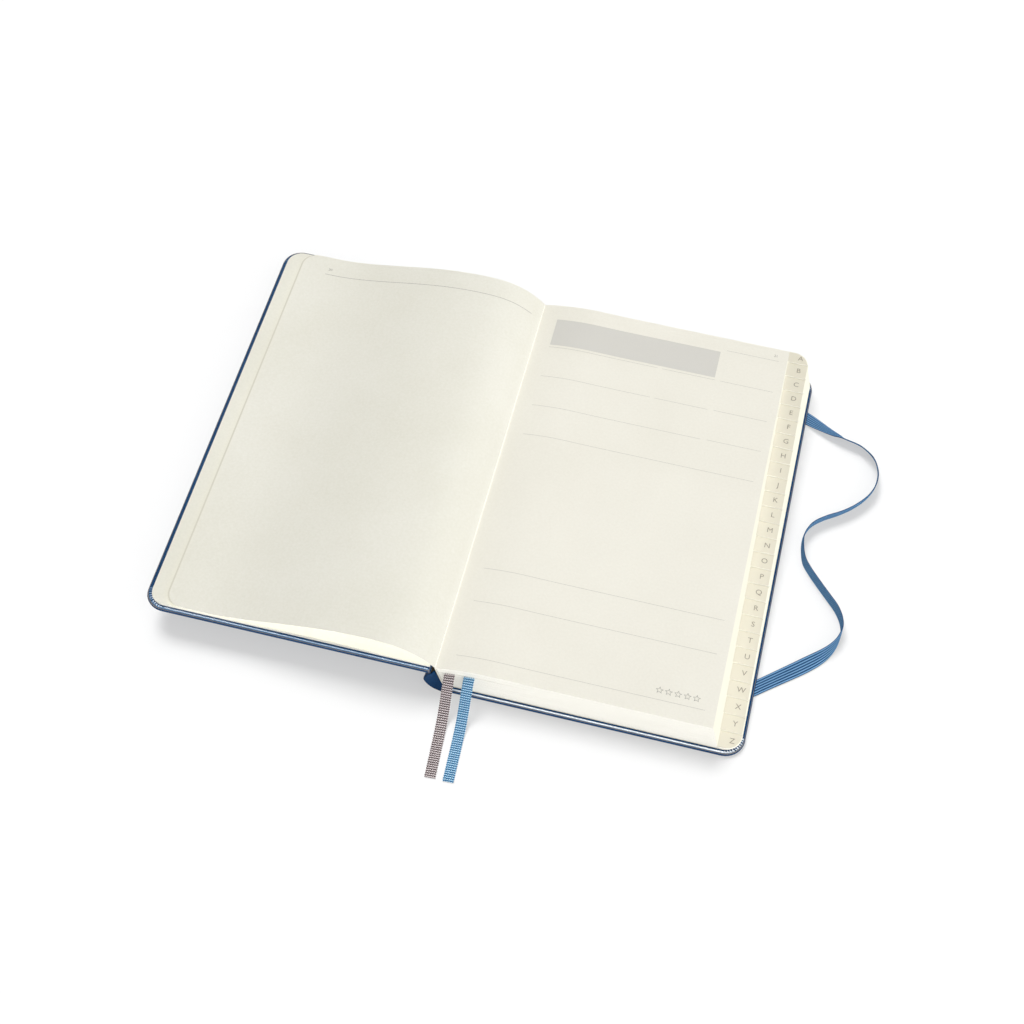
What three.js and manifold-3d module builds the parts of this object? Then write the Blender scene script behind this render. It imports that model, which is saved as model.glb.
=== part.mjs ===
// An open reading journal: a hard-cover notebook with a step-cut A to Z index.
// Millimetres. X runs from the front cover's fore-edge (left) to the back cover's (right),
// Y runs along the spine from the tail of the page to its head, Z is up.
// The back cover lies on z = 0, and the origin is below the middle of the spread.
import * as THREE from 'three'
import { mergeVertices } from 'three/addons/utils/BufferGeometryUtils.js'
import Module from 'manifold-3d'

const wasm = await Module()
wasm.setup()

// Covers
const coverReach = 131.5
const hingeEdgeX = 3.8
const coverMargin = 2
const coverCornerRadius = 9
const coverThickness = 2.4
const wrapThickness = 0.35
const boardFit = 0.05
const turnInWidth = 14
const frontCoverLift = 12.8

// Endpapers, and the pocket inside the back cover
const endpaperThickness = 0.15
const endpaperMargin = 2.2
const endpaperFit = 0.2
const sheetGap = 0.05
const pocketMargin = 4
const pocketInnerEdge = 12
const gussetWidth = 11
const gussetThickness = 0.3
const pocketPanelThickness = 0.35

// Text block
const pageHeight = 206
const pageCornerRadius = 7
const gutterX = -1.8
const spineFootX = 1.4
const foldGap = 0.3
const endLeavesThickness = 0.5
const sectionCount = 26
const sectionThickness = 0.54
const sectionGap = 0.04
const ribbonSlot = 0.35
const sectionsOverRibbons = 7
const topForeEdgeInset = 4.9
const footForeEdgeInset = 1.5
const gutterDip = 3.5
const dipReach = 26
const dipStations = 8

// Step-cut index
const tabWidth = 9.6
const headTabHeight = 6

// Leaves that lie on the front cover
const lowerLeavesThickness = 1
const lowerLeavesFoldX = -4.4
const lowerLeavesInset = 1.7
const lowerLeavesHump = 1.1
const humpStartX = -6
const humpEndInset = 31.5
const archedLeavesThickness = 0.3
const archedLeavesInset = 5.9
const archGutterLift = 0.1
const archCrestX = -33
const archCrestLift = 12.4
const archFootInset = 27.5
const archFootLift = 0.3
const archGutterPower = 2.8
const archFallPower = 0.85
const archStations = 30

// Spine
const spineWrapThickness = 0.5
const spineStripThickness = 0.6
const spineStripFit = 0.3
const spineFootRise = 0.5
const spineBulgeX = -6.2
const spineBulgeZ = 7.2
const spineTopX = -4.4
const spineTopZ = 11.6
const spineStations = 22
const spineStripShare = [0.28, 0.92]
const liningThickness = 0.5

// Elastic strap and its two anchors
const strapWidth = 6.6
const strapThickness = 0.8
const strapFit = 0.3
const strapFloor = 0.05
const slitInset = 6.1
const strapHeadInset = 22.8
const strapTailInset = 33.2
const strapHeadTurn = -28
const strapTailTurn = 40
const strapTurnOut = 3
const anchorTabLength = 14
const strapSteps = 78
const strapChamfer = 0.2
const gapBetweenPieces = 0.3

// The strap's route on the table: how far out from the fore-edge, the share of the way from its
// head slit to its tail slit, and how far the band leans from flat, in degrees. It lies flat at
// both covers' edges, at 180, and stands on its edge between them.
const strapRoute = [
  [-1.2, 0.007, 180], [0.7, 0.013, 180], [9.3, 0.043, 158], [15.1, 0.060, 137], [19.2, 0.070, 124],
  [26.5, 0.083, 115], [30.8, 0.101, 107], [34.4, 0.127, 98], [36.5, 0.162, 89], [37.0, 0.196, 83],
  [35.9, 0.238, 81], [33.1, 0.276, 80], [28.2, 0.316, 80], [22.7, 0.348, 80], [16.4, 0.377, 80],
  [11.7, 0.406, 79], [9.3, 0.436, 78], [8.4, 0.472, 78], [10.5, 0.539, 77], [14.1, 0.574, 76],
  [18.8, 0.610, 75], [23.9, 0.647, 75], [28.1, 0.678, 76], [30.9, 0.710, 78], [32.1, 0.740, 81],
  [31.4, 0.775, 95], [29.9, 0.802, 113], [26.4, 0.836, 137], [17.8, 0.887, 162], [9.5, 0.931, 176],
  [1.8, 0.973, 180], [-1.2, 0.990, 180]
]

// Bookmark ribbons
const ribbonWidth = 4.7
const ribbonThickness = 0.25
const ribbonChamfer = 0.06
const ribbonHeadMargin = 4
const ribbonSteps = 24
const ribbons = [
  { name: 'grey', x: 4.4, endShift: 2.6 },
  { name: 'blue', x: 12.9, endShift: 1.9 }
]
// A ribbon's fall from the page's tail to the table: how far out, and its height as a share of
// the exit's.
const ribbonFall = [
  [0.3, 1], [3.2, 0.95], [7.4, 0.68], [11.6, 0.36], [16.6, 0.12], [23, 0.035], [33, 0.026], [42.3, 0.026]
]
const ribbonLevelReach = 14

// Sizes and heights that follow from those above
const pageHalf = pageHeight / 2
const coverHalf = pageHalf + coverMargin
const topForeEdgeX = coverReach - topForeEdgeInset
const footForeEdgeX = coverReach - footForeEdgeInset
const tabPitch = (pageHeight - headTabHeight) / (sectionCount - 1)
const leavesReachX = lowerLeavesInset - coverReach
const archedReachX = archedLeavesInset - coverReach
const humpEndX = humpEndInset - coverReach
const archFootX = archFootInset - coverReach
const slitX = coverReach - slitInset
const strapHeadY = coverHalf - strapHeadInset
const strapTailY = strapTailInset - coverHalf
const boardRadius = coverCornerRadius - wrapThickness
const gussetFloor = coverThickness + endpaperThickness + sheetGap
const panelFloor = gussetFloor + gussetThickness + sheetGap
const endLeavesFloor = panelFloor + pocketPanelThickness + sheetGap
const blockFloor = endLeavesFloor + endLeavesThickness + sheetGap
const sectionPitch = sectionThickness + sectionGap
const blockRise = sectionCount * sectionPitch + ribbonSlot - sectionGap
const gutterZ = blockFloor + blockRise - gutterDip
const frontInnerFace = frontCoverLift + coverThickness
const lowerLeavesFloor = frontInnerFace + endpaperThickness + sheetGap
const archFloor = lowerLeavesFloor + lowerLeavesThickness + sheetGap + archedLeavesThickness
const anchorTabFloor = coverThickness - wrapThickness - strapThickness - strapFloor
const channelDepth = strapThickness + 2 * strapFloor

const PAPER = { color: '#efebdd', roughness: 0.9, metalness: 0 }
const INDEX_PAPER = { color: '#ece5d2', roughness: 0.9, metalness: 0 }
const LEATHER = { color: '#2f5779', roughness: 0.55, metalness: 0 }
const BOARD = { color: '#9a9184', roughness: 0.95, metalness: 0 }
const CLOTH = { color: '#b9b4a6', roughness: 0.95, metalness: 0 }
const ELASTIC = { color: '#4f7da8', roughness: 0.8, metalness: 0 }
const RIBBON_FINISH = {
  grey: { color: '#7a6a6a', roughness: 0.7, metalness: 0 },
  blue: { color: '#3d8ac0', roughness: 0.7, metalness: 0 }
}

const journal = new THREE.Group()

function addPiece(name, geometry, finish) {
  const mesh = new THREE.Mesh(geometry, new THREE.MeshStandardMaterial(finish))
  mesh.name = name
  journal.add(mesh)
}

// A closed geometry as a solid that can be joined and cut.
function toSolid(geometry) {
  const bare = geometry.clone()
  bare.deleteAttribute('normal')
  bare.deleteAttribute('uv')
  const merged = mergeVertices(bare, 1e-5)
  return new wasm.Manifold(new wasm.Mesh({
    numProp: 3,
    vertProperties: new Float32Array(merged.attributes.position.array),
    triVerts: new Uint32Array(merged.index.array)
  }))
}

function toGeometry(solid) {
  const cut = solid.getMesh()
  const geometry = new THREE.BufferGeometry()
  geometry.setAttribute('position', new THREE.BufferAttribute(new Float32Array(cut.vertProperties), 3))
  geometry.setIndex(new THREE.BufferAttribute(new Uint32Array(cut.triVerts), 1))
  geometry.computeVertexNormals()
  return geometry
}

// A plan outline raised from one height to another.
function prism(shape, low, high) {
  const options = { depth: high - low, bevelEnabled: false, curveSegments: 7 }
  const geometry = new THREE.ExtrudeGeometry(shape, options)
  geometry.translate(0, 0, low)
  return toSolid(geometry)
}

function block(x0, x1, y0, y1, z0, z1) {
  const geometry = new THREE.BoxGeometry(x1 - x0, y1 - y0, z1 - z0)
  geometry.translate((x0 + x1) / 2, (y0 + y1) / 2, (z0 + z1) / 2)
  return toSolid(geometry)
}

// A profile of x and z points carried along the spine from tail to head.
function alongSpine(profile, tail, head) {
  const shape = new THREE.Shape(profile.map(([x, z]) => new THREE.Vector2(x, z)))
  const geometry = new THREE.ExtrudeGeometry(shape, { depth: head - tail, bevelEnabled: false })
  geometry.rotateX(Math.PI / 2)
  geometry.translate(0, head, 0)
  return geometry
}

// The plan of a leaf or a board: square at the fold, round at the fore-edge, on the side where
// its reach lies.
function leafOutline(foldX, reachX, half, radius) {
  const side = Math.sign(reachX - foldX)
  const cornerX = reachX - side * radius
  const fore = side > 0 ? 0 : Math.PI
  const shape = new THREE.Shape()
  shape.moveTo(foldX, -half)
  shape.lineTo(cornerX, -half)
  shape.absarc(cornerX, radius - half, radius, -Math.PI / 2, side > 0 ? fore : -fore, side < 0)
  shape.lineTo(reachX, half - radius)
  shape.absarc(cornerX, half - radius, radius, fore, Math.PI / 2, side < 0)
  shape.lineTo(foldX, half)
  return shape
}

function coverOutline(side, inset, radius) {
  return leafOutline(side * (hingeEdgeX + inset), side * (coverReach - inset), coverHalf - inset, radius)
}

// Cuts for the strap in the back cover: a slit through it, a channel from the slit to the fore-edge
// in the outer face, which turns as the strap does, and a seat for the glued tab in the board's
// inner face.
function strapCuts(y, turn) {
  const halfWidth = strapWidth / 2 + strapFit
  const slitHalf = strapThickness / 2 + strapFit
  const boardTop = coverThickness - wrapThickness
  const slit = block(slitX - slitHalf, slitX + slitHalf, y - halfWidth, y + halfWidth, -1, boardTop)
  const turnX = slitX + strapTurnOut
  const channel = block(slitX, turnX, y - halfWidth, y + halfWidth, -1, channelDepth)
  const wide = halfWidth + strapFit
  const turned = block(-halfWidth, 2 * slitInset, -wide, wide, -1, channelDepth)
  const outerChannel = turned.rotate([0, 0, turn]).translate([turnX, y, 0])
  const tabSeatX = slitX - anchorTabLength - strapFit
  const seat = block(tabSeatX, slitX, y - halfWidth, y + halfWidth, anchorTabFloor - sheetGap, boardTop)
  return slit.add(channel).add(outerChannel).add(seat)
}

// A cover: a grey board inside a leatherette wrap, whose turned-in edges leave the board's inner face bare.
function addCover(name, side, outerFace, cuts) {
  const innerFace = outerFace + coverThickness
  const boardLow = outerFace + wrapThickness
  const boardHigh = innerFace - wrapThickness
  const inset = wrapThickness
  const room = inset - boardFit
  const roomOutline = coverOutline(side, room, coverCornerRadius - room)
  const hollow = prism(roomOutline, boardLow - boardFit, boardHigh + boardFit)
  const window = prism(coverOutline(side, turnInWidth, coverCornerRadius), boardLow, innerFace + 1)
  const whole = prism(coverOutline(side, 0, coverCornerRadius), outerFace, innerFace)
  let wrap = whole.subtract(hollow).subtract(window)
  let board = prism(coverOutline(side, inset, boardRadius), boardLow, boardHigh)
  for (const cut of cuts) {
    wrap = wrap.subtract(cut)
    board = board.subtract(cut)
  }
  addPiece(`${name}_wrap`, toGeometry(wrap), LEATHER)
  addPiece(`${name}_board`, toGeometry(board), BOARD)
}

// The free end of the strap is glued in here: a tab under the endpaper, and a leg down through the slit.
function addStrapAnchor(name, y) {
  const legHalf = strapThickness / 2
  const tail = y - strapWidth / 2
  const head = y + strapWidth / 2
  const tabTop = anchorTabFloor + strapThickness
  const leg = block(slitX - legHalf, slitX + legHalf, tail, head, strapFloor, tabTop)
  const tab = block(slitX - anchorTabLength, slitX, tail, head, anchorTabFloor, tabTop)
  addPiece(name, toGeometry(leg.add(tab)), ELASTIC)
}

function addEndpaper(name, side, floor) {
  const reach = side * (coverReach - endpaperMargin)
  const foldX = side * (hingeEdgeX + endpaperMargin)
  const outline = leafOutline(foldX, reach, pageHalf - endpaperFit, coverCornerRadius - endpaperMargin)
  addPiece(name, toGeometry(prism(outline, floor, floor + endpaperThickness)), PAPER)
}

// The pocket: a card panel on folded cloth gussets along its head, tail and fore-edge, open
// towards the spine.
function addPocket() {
  const reach = coverReach - pocketMargin
  const half = coverHalf - pocketMargin
  const radius = coverCornerRadius - pocketMargin
  const outline = leafOutline(pocketInnerEdge, reach, half, radius)
  const panel = prism(outline, panelFloor, panelFloor + pocketPanelThickness)
  addPiece('back_pocket_panel', toGeometry(panel), CLOTH)
  const sheet = prism(outline, gussetFloor, gussetFloor + gussetThickness)
  const inside = leafOutline(pocketInnerEdge - 1, reach - gussetWidth, half - gussetWidth, radius)
  const opening = prism(inside, gussetFloor - 1, gussetFloor + 1)
  addPiece('back_pocket_gusset', toGeometry(sheet.subtract(opening)), CLOTH)
}

// Height of the surface at a given rise in the block: flat, and drawn down to the gutter by a parabola.
function blockSurface(rise, x) {
  const u = Math.min(Math.max((x - gutterX) / dipReach, 0), 1)
  return blockFloor + rise * (1 - gutterDip / blockRise * (1 - u) ** 2)
}

// Stations across the block, close together where the leaves bend into the gutter.
function blockStations(foldX, reachX) {
  const stations = [foldX]
  for (let i = 1; i <= dipStations; i++) {
    const x = gutterX + dipReach * i / dipStations
    if (x > foldX + 0.5) stations.push(x)
  }
  stations.push(reachX)
  return stations
}

function sectionPlace(index) {
  const share = index / (sectionCount - 1)
  const overRibbons = index < sectionsOverRibbons ? ribbonSlot : 0
  const foreEdgeX = topForeEdgeX + share * (footForeEdgeX - topForeEdgeX)
  return {
    low: (sectionCount - 1 - index) * sectionPitch + overRibbons,
    foldX: gutterX + foldGap + share * (spineFootX - gutterX),
    foreEdgeX,
    cutX: foreEdgeX - tabWidth,
    tabTail: (sectionCount - 1 - index) * tabPitch - pageHalf
  }
}

function curvedLayer(low, high, foldX, reachX) {
  const stations = blockStations(foldX, reachX)
  const upper = stations.map(x => [x, blockSurface(high, x)])
  const lower = stations.map(x => [x, blockSurface(low, x)])
  return toSolid(alongSpine([...lower, ...upper.reverse()], -pageHalf, pageHalf))
}

// One index section: its leaves reach the fore-edge down to the end of their own tab,
// and below it they are cut back by the width of a tab.
function addIndexSection(index) {
  const letter = String.fromCharCode('a'.charCodeAt(0) + index)
  const place = sectionPlace(index)
  const layer = curvedLayer(place.low, place.low + sectionThickness, place.foldX, place.foreEdgeX)
  const outline = leafOutline(place.foldX - 1, place.foreEdgeX, pageHalf, pageCornerRadius)
  const trimmed = layer.intersect(prism(outline, 0, blockFloor + blockRise + 1))
  const isLast = index === sectionCount - 1
  const step = block(place.cutX, coverReach, -coverHalf, place.tabTail, 0, blockFloor + blockRise + 1)
  addPiece(`index_section_${letter}`, toGeometry(isLast ? trimmed : trimmed.subtract(step)), INDEX_PAPER)
}

function addEndLeaves() {
  const outline = leafOutline(spineFootX + foldGap, footForeEdgeX, pageHalf, pageCornerRadius)
  const leaves = prism(outline, endLeavesFloor, endLeavesFloor + endLeavesThickness)
  addPiece('end_leaves', toGeometry(leaves), PAPER)
}

// The lining glued to the back of the block, which leans with the opened leaves.
function addSpineLining() {
  const top = sectionPlace(0).foldX - foldGap
  const foot = sectionPlace(sectionCount - 1).foldX - foldGap
  const topZ = gutterZ - foldGap
  const profile = [
    [foot, blockFloor], [top, topZ], [top - liningThickness, topZ], [foot - liningThickness, blockFloor]
  ]
  addPiece('spine_lining', alongSpine(profile, -pageHalf, pageHalf), CLOTH)
}

// A strip of even thickness about a curve in x and z, from one share of its length to another,
// moved sideways by an offset.
function stripProfile(curve, thickness, offset, from, to, stations) {
  const outer = []
  const inner = []
  for (let i = 0; i <= stations; i++) {
    const share = from + (to - from) * i / stations
    const point = curve.getPointAt(share)
    const along = curve.getTangentAt(share)
    const side = [-along.y, along.x]
    outer.push([point.x + side[0] * (offset + thickness / 2), point.y + side[1] * (offset + thickness / 2)])
    inner.push([point.x + side[0] * (offset - thickness / 2), point.y + side[1] * (offset - thickness / 2)])
  }
  return [...outer, ...inner.reverse()]
}

// The soft spine, bulged outwards between the two covers, with its card strip inside.
function addSpine() {
  const curve = new THREE.SplineCurve([
    new THREE.Vector2(hingeEdgeX - foldGap, spineWrapThickness / 2),
    new THREE.Vector2(hingeEdgeX / 4, spineFootRise),
    new THREE.Vector2(spineBulgeX / 2, spineBulgeZ / 3),
    new THREE.Vector2(spineBulgeX, spineBulgeZ),
    new THREE.Vector2((spineBulgeX + spineTopX) / 2, (spineBulgeZ + 2 * spineTopZ) / 3),
    new THREE.Vector2(spineTopX, spineTopZ)
  ])
  const wrap = stripProfile(curve, spineWrapThickness, 0, 0, 1, spineStations)
  addPiece('spine_wrap', alongSpine(wrap, -coverHalf, coverHalf), LEATHER)
  const inward = -(spineWrapThickness / 2 + spineStripFit + spineStripThickness / 2)
  const [from, to] = spineStripShare
  const strip = stripProfile(curve, spineStripThickness, inward, from, to, spineStations)
  addPiece('spine_strip', alongSpine(strip, -pageHalf, pageHalf), BOARD)
}

// Height of the arched leaves: up steeply from the gutter to the crest, then down to the front cover.
function archSurface(x) {
  const foot = archFloor + archFootLift
  const crest = frontInnerFace + archCrestLift
  const gutter = gutterZ + archGutterLift
  if (x > archCrestX) {
    const share = (gutterX - foldGap - x) / (gutterX - foldGap - archCrestX)
    return gutter + (crest - gutter) * (1 - (1 - share) ** archGutterPower)
  }
  const fall = Math.min((archCrestX - x) / (archCrestX - archFootX), 1)
  return foot + (crest - foot) * ((1 + Math.cos(Math.PI * fall)) / 2) ** archFallPower
}

function lowerLeavesSurface(x) {
  const share = (x - humpStartX) / (humpEndX - humpStartX)
  const hump = share > 0 && share < 1 ? lowerLeavesHump * Math.sin(Math.PI * share) ** 2 : 0
  return lowerLeavesFloor + lowerLeavesThickness + hump
}

// Leaves of even thickness under a surface, with the leaf's plan.
function leavesUnder(surface, thickness, foldX, reachX, stations) {
  const xs = []
  for (let i = 0; i <= stations; i++) xs.push(foldX + (reachX - foldX) * (i / stations) ** 1.4)
  const upper = xs.map(x => [x, surface(x)])
  const lower = xs.map(x => [x, surface(x) - thickness]).reverse()
  const layer = toSolid(alongSpine([...upper, ...lower], -pageHalf, pageHalf))
  const outline = leafOutline(foldX + 1, reachX, pageHalf, pageCornerRadius)
  return layer.intersect(prism(outline, 0, 2 * frontInnerFace))
}

function addLeftLeaves() {
  const stations = archStations
  const lowerFoldX = lowerLeavesFoldX
  const lower = leavesUnder(lowerLeavesSurface, lowerLeavesThickness, lowerFoldX, leavesReachX, stations)
  addPiece('front_leaves', toGeometry(lower), PAPER)
  const foldX = gutterX - foldGap
  const arched = leavesUnder(archSurface, archedLeavesThickness, foldX, archedReachX, stations)
  addPiece('arched_leaves', toGeometry(arched), PAPER)
}

// A flat band along a route. Each station has its middle and the direction across the band;
// its section is a rectangle with eight sides, the corners taken off.
function bandGeometry(stations, width, thickness, chamfer) {
  const w = width / 2
  const t = thickness / 2
  const section = [
    [w, t - chamfer], [w - chamfer, t], [chamfer - w, t], [-w, t - chamfer],
    [-w, chamfer - t], [chamfer - w, -t], [w - chamfer, -t], [w, chamfer - t]
  ]
  const sides = section.length
  const positions = []
  stations.forEach((station, i) => {
    const before = stations[Math.max(i - 1, 0)].middle
    const after = stations[Math.min(i + 1, stations.length - 1)].middle
    const along = after.clone().sub(before).normalize()
    const across = station.across.clone().addScaledVector(along, -station.across.dot(along)).normalize()
    const up = across.clone().cross(along).normalize().multiplyScalar(-1)
    for (const [a, b] of section) {
      const point = station.middle.clone().addScaledVector(across, a).addScaledVector(up, b)
      positions.push(point.x, point.y, point.z)
    }
  })
  const index = []
  for (let i = 0; i + 1 < stations.length; i++) {
    for (let j = 0; j < sides; j++) {
      const a = i * sides + j
      const b = i * sides + (j + 1) % sides
      index.push(a, b, a + sides, b, b + sides, a + sides)
    }
  }
  const last = (stations.length - 1) * sides
  for (let j = 1; j + 1 < sides; j++) {
    index.push(0, j + 1, j)
    index.push(last, last + j, last + j + 1)
  }
  const geometry = new THREE.BufferGeometry()
  geometry.setAttribute('position', new THREE.BufferAttribute(new Float32Array(positions), 3))
  geometry.setIndex(index)
  return geometry
}

// The strap lies flat where it leaves the cover and stands on its edge round the bends.
function addStrap() {
  const legX = slitX + strapThickness / 2 + 2 * gapBetweenPieces
  const straightX = slitX + strapTurnOut - gapBetweenPieces
  const onTable = strapRoute.map(([out, share, lean]) => (
    [coverReach + out, strapHeadY + share * (strapTailY - strapHeadY), lean]))
  const headEnd = [[legX, strapHeadY, 180], [straightX, strapHeadY, 180]]
  const tailEnd = [[straightX, strapTailY, 180], [legX, strapTailY, 180]]
  const route = [...headEnd, ...onTable, ...tailEnd]
  const points = route.map(([x, y, lean]) => new THREE.Vector3(x, y, lean))
  const curve = new THREE.CatmullRomCurve3(points, false, 'centripetal')
  const stations = []
  for (let i = 0; i <= strapSteps; i++) {
    const place = curve.getPoint(i / strapSteps)
    const heading = curve.getTangent(i / strapSteps).setZ(0).normalize()
    const lean = THREE.MathUtils.degToRad(Math.min(place.z, 180))
    const rise = strapThickness * Math.abs(Math.cos(lean)) + strapWidth * Math.sin(lean)
    const height = strapFloor + rise / 2
    stations.push({
      middle: new THREE.Vector3(place.x, place.y, height),
      across: new THREE.Vector3(-heading.y * Math.cos(lean), heading.x * Math.cos(lean), Math.sin(lean))
    })
  }
  addPiece('elastic_strap', bandGeometry(stations, strapWidth, strapThickness, strapChamfer), ELASTIC)
}

// A ribbon lies between two sections from near the head to the tail, then hangs over the tail to the table.
function addRibbon({ name, x, endShift }) {
  const under = sectionPlace(sectionsOverRibbons)
  const rise = under.low + sectionThickness
  const bed = offset => blockSurface(rise, x + offset) + sheetGap
  const slope = (bed(ribbonWidth / 2) - bed(-ribbonWidth / 2)) / ribbonWidth
  const exitZ = bed(0) + ribbonThickness / 2
  const lean = new THREE.Vector3(1, 0, slope).normalize()
  const held = [-pageHalf, pageHalf - ribbonHeadMargin].map(y => ({
    middle: new THREE.Vector3(x, y, exitZ), across: lean
  }))
  const finish = RIBBON_FINISH[name]
  addPiece(`${name}_ribbon_held`, bandGeometry(held, ribbonWidth, ribbonThickness, ribbonChamfer), finish)
  const fallPoints = ribbonFall.map(([out, height]) => new THREE.Vector2(out, height * exitZ))
  const fall = new THREE.SplineCurve(fallPoints)
  const free = []
  const longest = ribbonFall[ribbonFall.length - 1][0]
  for (let i = 0; i <= ribbonSteps; i++) {
    const point = fall.getPoint(i / ribbonSteps)
    const level = Math.max(1 - point.x / ribbonLevelReach, 0)
    const across = new THREE.Vector3(1, 0, slope * level).normalize()
    const middle = new THREE.Vector3(x + endShift * point.x / longest, -pageHalf - point.x, point.y)
    free.push({ middle, across })
  }
  addPiece(`${name}_ribbon`, bandGeometry(free, ribbonWidth, ribbonThickness, ribbonChamfer), finish)
}

addCover('back_cover', 1, 0, [strapCuts(strapHeadY, strapHeadTurn), strapCuts(strapTailY, strapTailTurn)])
addCover('front_cover', -1, frontCoverLift, [])
addEndpaper('back_endpaper', 1, coverThickness)
addEndpaper('front_endpaper', -1, frontInnerFace)
addPocket()
addSpine()
addSpineLining()
addEndLeaves()
for (let index = 0; index < sectionCount; index++) addIndexSection(index)
addLeftLeaves()
addStrapAnchor('strap_anchor_head', strapHeadY)
addStrapAnchor('strap_anchor_tail', strapTailY)
addStrap()
for (const ribbon of ribbons) addRibbon(ribbon)

export default journal
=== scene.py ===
import math

import bpy
import bmesh
import numpy as np
from bpy.props import FloatProperty, FloatVectorProperty, IntProperty, PointerProperty
from mathutils import Matrix


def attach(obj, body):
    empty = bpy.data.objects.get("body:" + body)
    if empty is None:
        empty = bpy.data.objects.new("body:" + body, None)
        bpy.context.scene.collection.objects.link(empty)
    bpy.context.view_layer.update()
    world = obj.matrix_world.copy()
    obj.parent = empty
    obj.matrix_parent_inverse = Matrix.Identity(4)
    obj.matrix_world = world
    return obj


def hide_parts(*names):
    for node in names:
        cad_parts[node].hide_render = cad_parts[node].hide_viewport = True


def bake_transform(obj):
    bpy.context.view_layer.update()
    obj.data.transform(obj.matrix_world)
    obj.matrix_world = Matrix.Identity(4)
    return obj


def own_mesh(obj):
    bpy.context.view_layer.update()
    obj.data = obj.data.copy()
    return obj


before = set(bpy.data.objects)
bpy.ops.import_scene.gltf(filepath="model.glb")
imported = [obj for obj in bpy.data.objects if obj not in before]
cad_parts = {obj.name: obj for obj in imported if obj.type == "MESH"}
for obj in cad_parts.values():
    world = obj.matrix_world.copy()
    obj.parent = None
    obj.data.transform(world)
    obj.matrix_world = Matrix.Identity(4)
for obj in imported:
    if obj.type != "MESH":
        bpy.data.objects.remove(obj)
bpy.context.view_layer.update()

bl_info = {
    "name": "Reading journal",
    "version": (1, 0, 0),
    "blender": (4, 5, 0),
    "location": "3D View > Sidebar > Journal",
    "description": "Dresses the packed model of an open journal with a step-cut index",
    "category": "Object",
}

MM = 0.001


def linear(code):
    """A colour written as six hex digits, as Blender's linear numbers."""
    parts = [int(code[i:i + 2], 16) / 255 for i in (0, 2, 4)]
    return tuple(p / 12.92 if p < 0.04045 else ((p + 0.055) / 1.055) ** 2.4 for p in parts) + (1.0,)


def length(label, note, value):
    """A length setting, given here in millimetres and kept in metres."""
    return FloatProperty(name=label, description=note, default=value * MM, unit="LENGTH", precision=5)


def angle(label, note, value):
    """An angle setting, given here in degrees and kept in radians."""
    return FloatProperty(name=label, description=note, default=math.radians(value), subtype="ANGLE")


def share(label, note, value):
    """A plain number."""
    return FloatProperty(name=label, description=note, default=value)


def count(label, note, value):
    """A whole number."""
    return IntProperty(name=label, description=note, default=value, min=1)


def colour(label, note, code):
    """A colour setting, given here as six hex digits."""
    return FloatVectorProperty(
        name=label, description=note, default=linear(code), size=4, subtype="COLOR", min=0, max=1)


class StageSettings(bpy.types.PropertyGroup):
    lens: share("Lens", "Focal length in millimetres on a 36 mm sensor", 65.28)
    camera_place: FloatVectorProperty(
        name="Camera place", description="Where the camera stands", default=(0.0938, -0.4706, 0.7026),
        size=3, unit="LENGTH")
    heading: angle("Heading", "How far the view turns from looking along +Y", 10.397)
    elevation: angle("Elevation", "How far the view looks down from level", 56.168)
    roll: angle("Roll", "How far the camera leans about its line of sight", 3.849)
    floor_side: length("Floor side", "Side of the square floor", 8000)
    floor_drop: length("Floor drop", "How far the floor lies below the part", 0.05)
    floor_glow: share("Floor glow", "Light that the floor gives out itself", 0.5)
    floor_tone: colour("Floor tone", "Tone of the floor", "7c7c7c")
    sky: share("Sky", "Light from all round", 0.38)
    key: share("Key light", "Strength of the light from behind", 1.25)
    key_heading: angle("Key heading", "Where the key light stands, turned from +Y towards -X", 12)
    key_height: angle("Key height", "How high the key light stands", 50)
    key_width: angle("Key width", "How wide the key light is, for soft shadows", 26)
    fill: share("Fill light", "Strength of the light from the front right", 2.2)
    fill_heading: angle("Fill heading", "Where the fill light stands, turned from +Y towards -X", 228)
    fill_height: angle("Fill height", "How high the fill light stands", 30)
    fill_width: angle("Fill width", "How wide the fill light is", 90)
    table: share("Table light", "Strength of the light from the back left that only the table gets", 5.6)
    table_heading: angle("Table light heading", "Where the table light stands, from +Y towards -X", 45)
    table_height: angle("Table light height", "How high the table light stands", 60)
    table_width: angle("Table light width", "How wide the table light is, for soft shadows", 26)
    gloss: share("Gloss light", "Strength of the light overhead that only shines back", 12)
    gloss_heading: angle("Gloss heading", "Where the gloss light stands, turned from +Y towards -X", 10)
    gloss_height: angle("Gloss height", "How high the gloss light stands", 82)
    gloss_width: angle("Gloss width", "How wide the gloss light is", 34)


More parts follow.
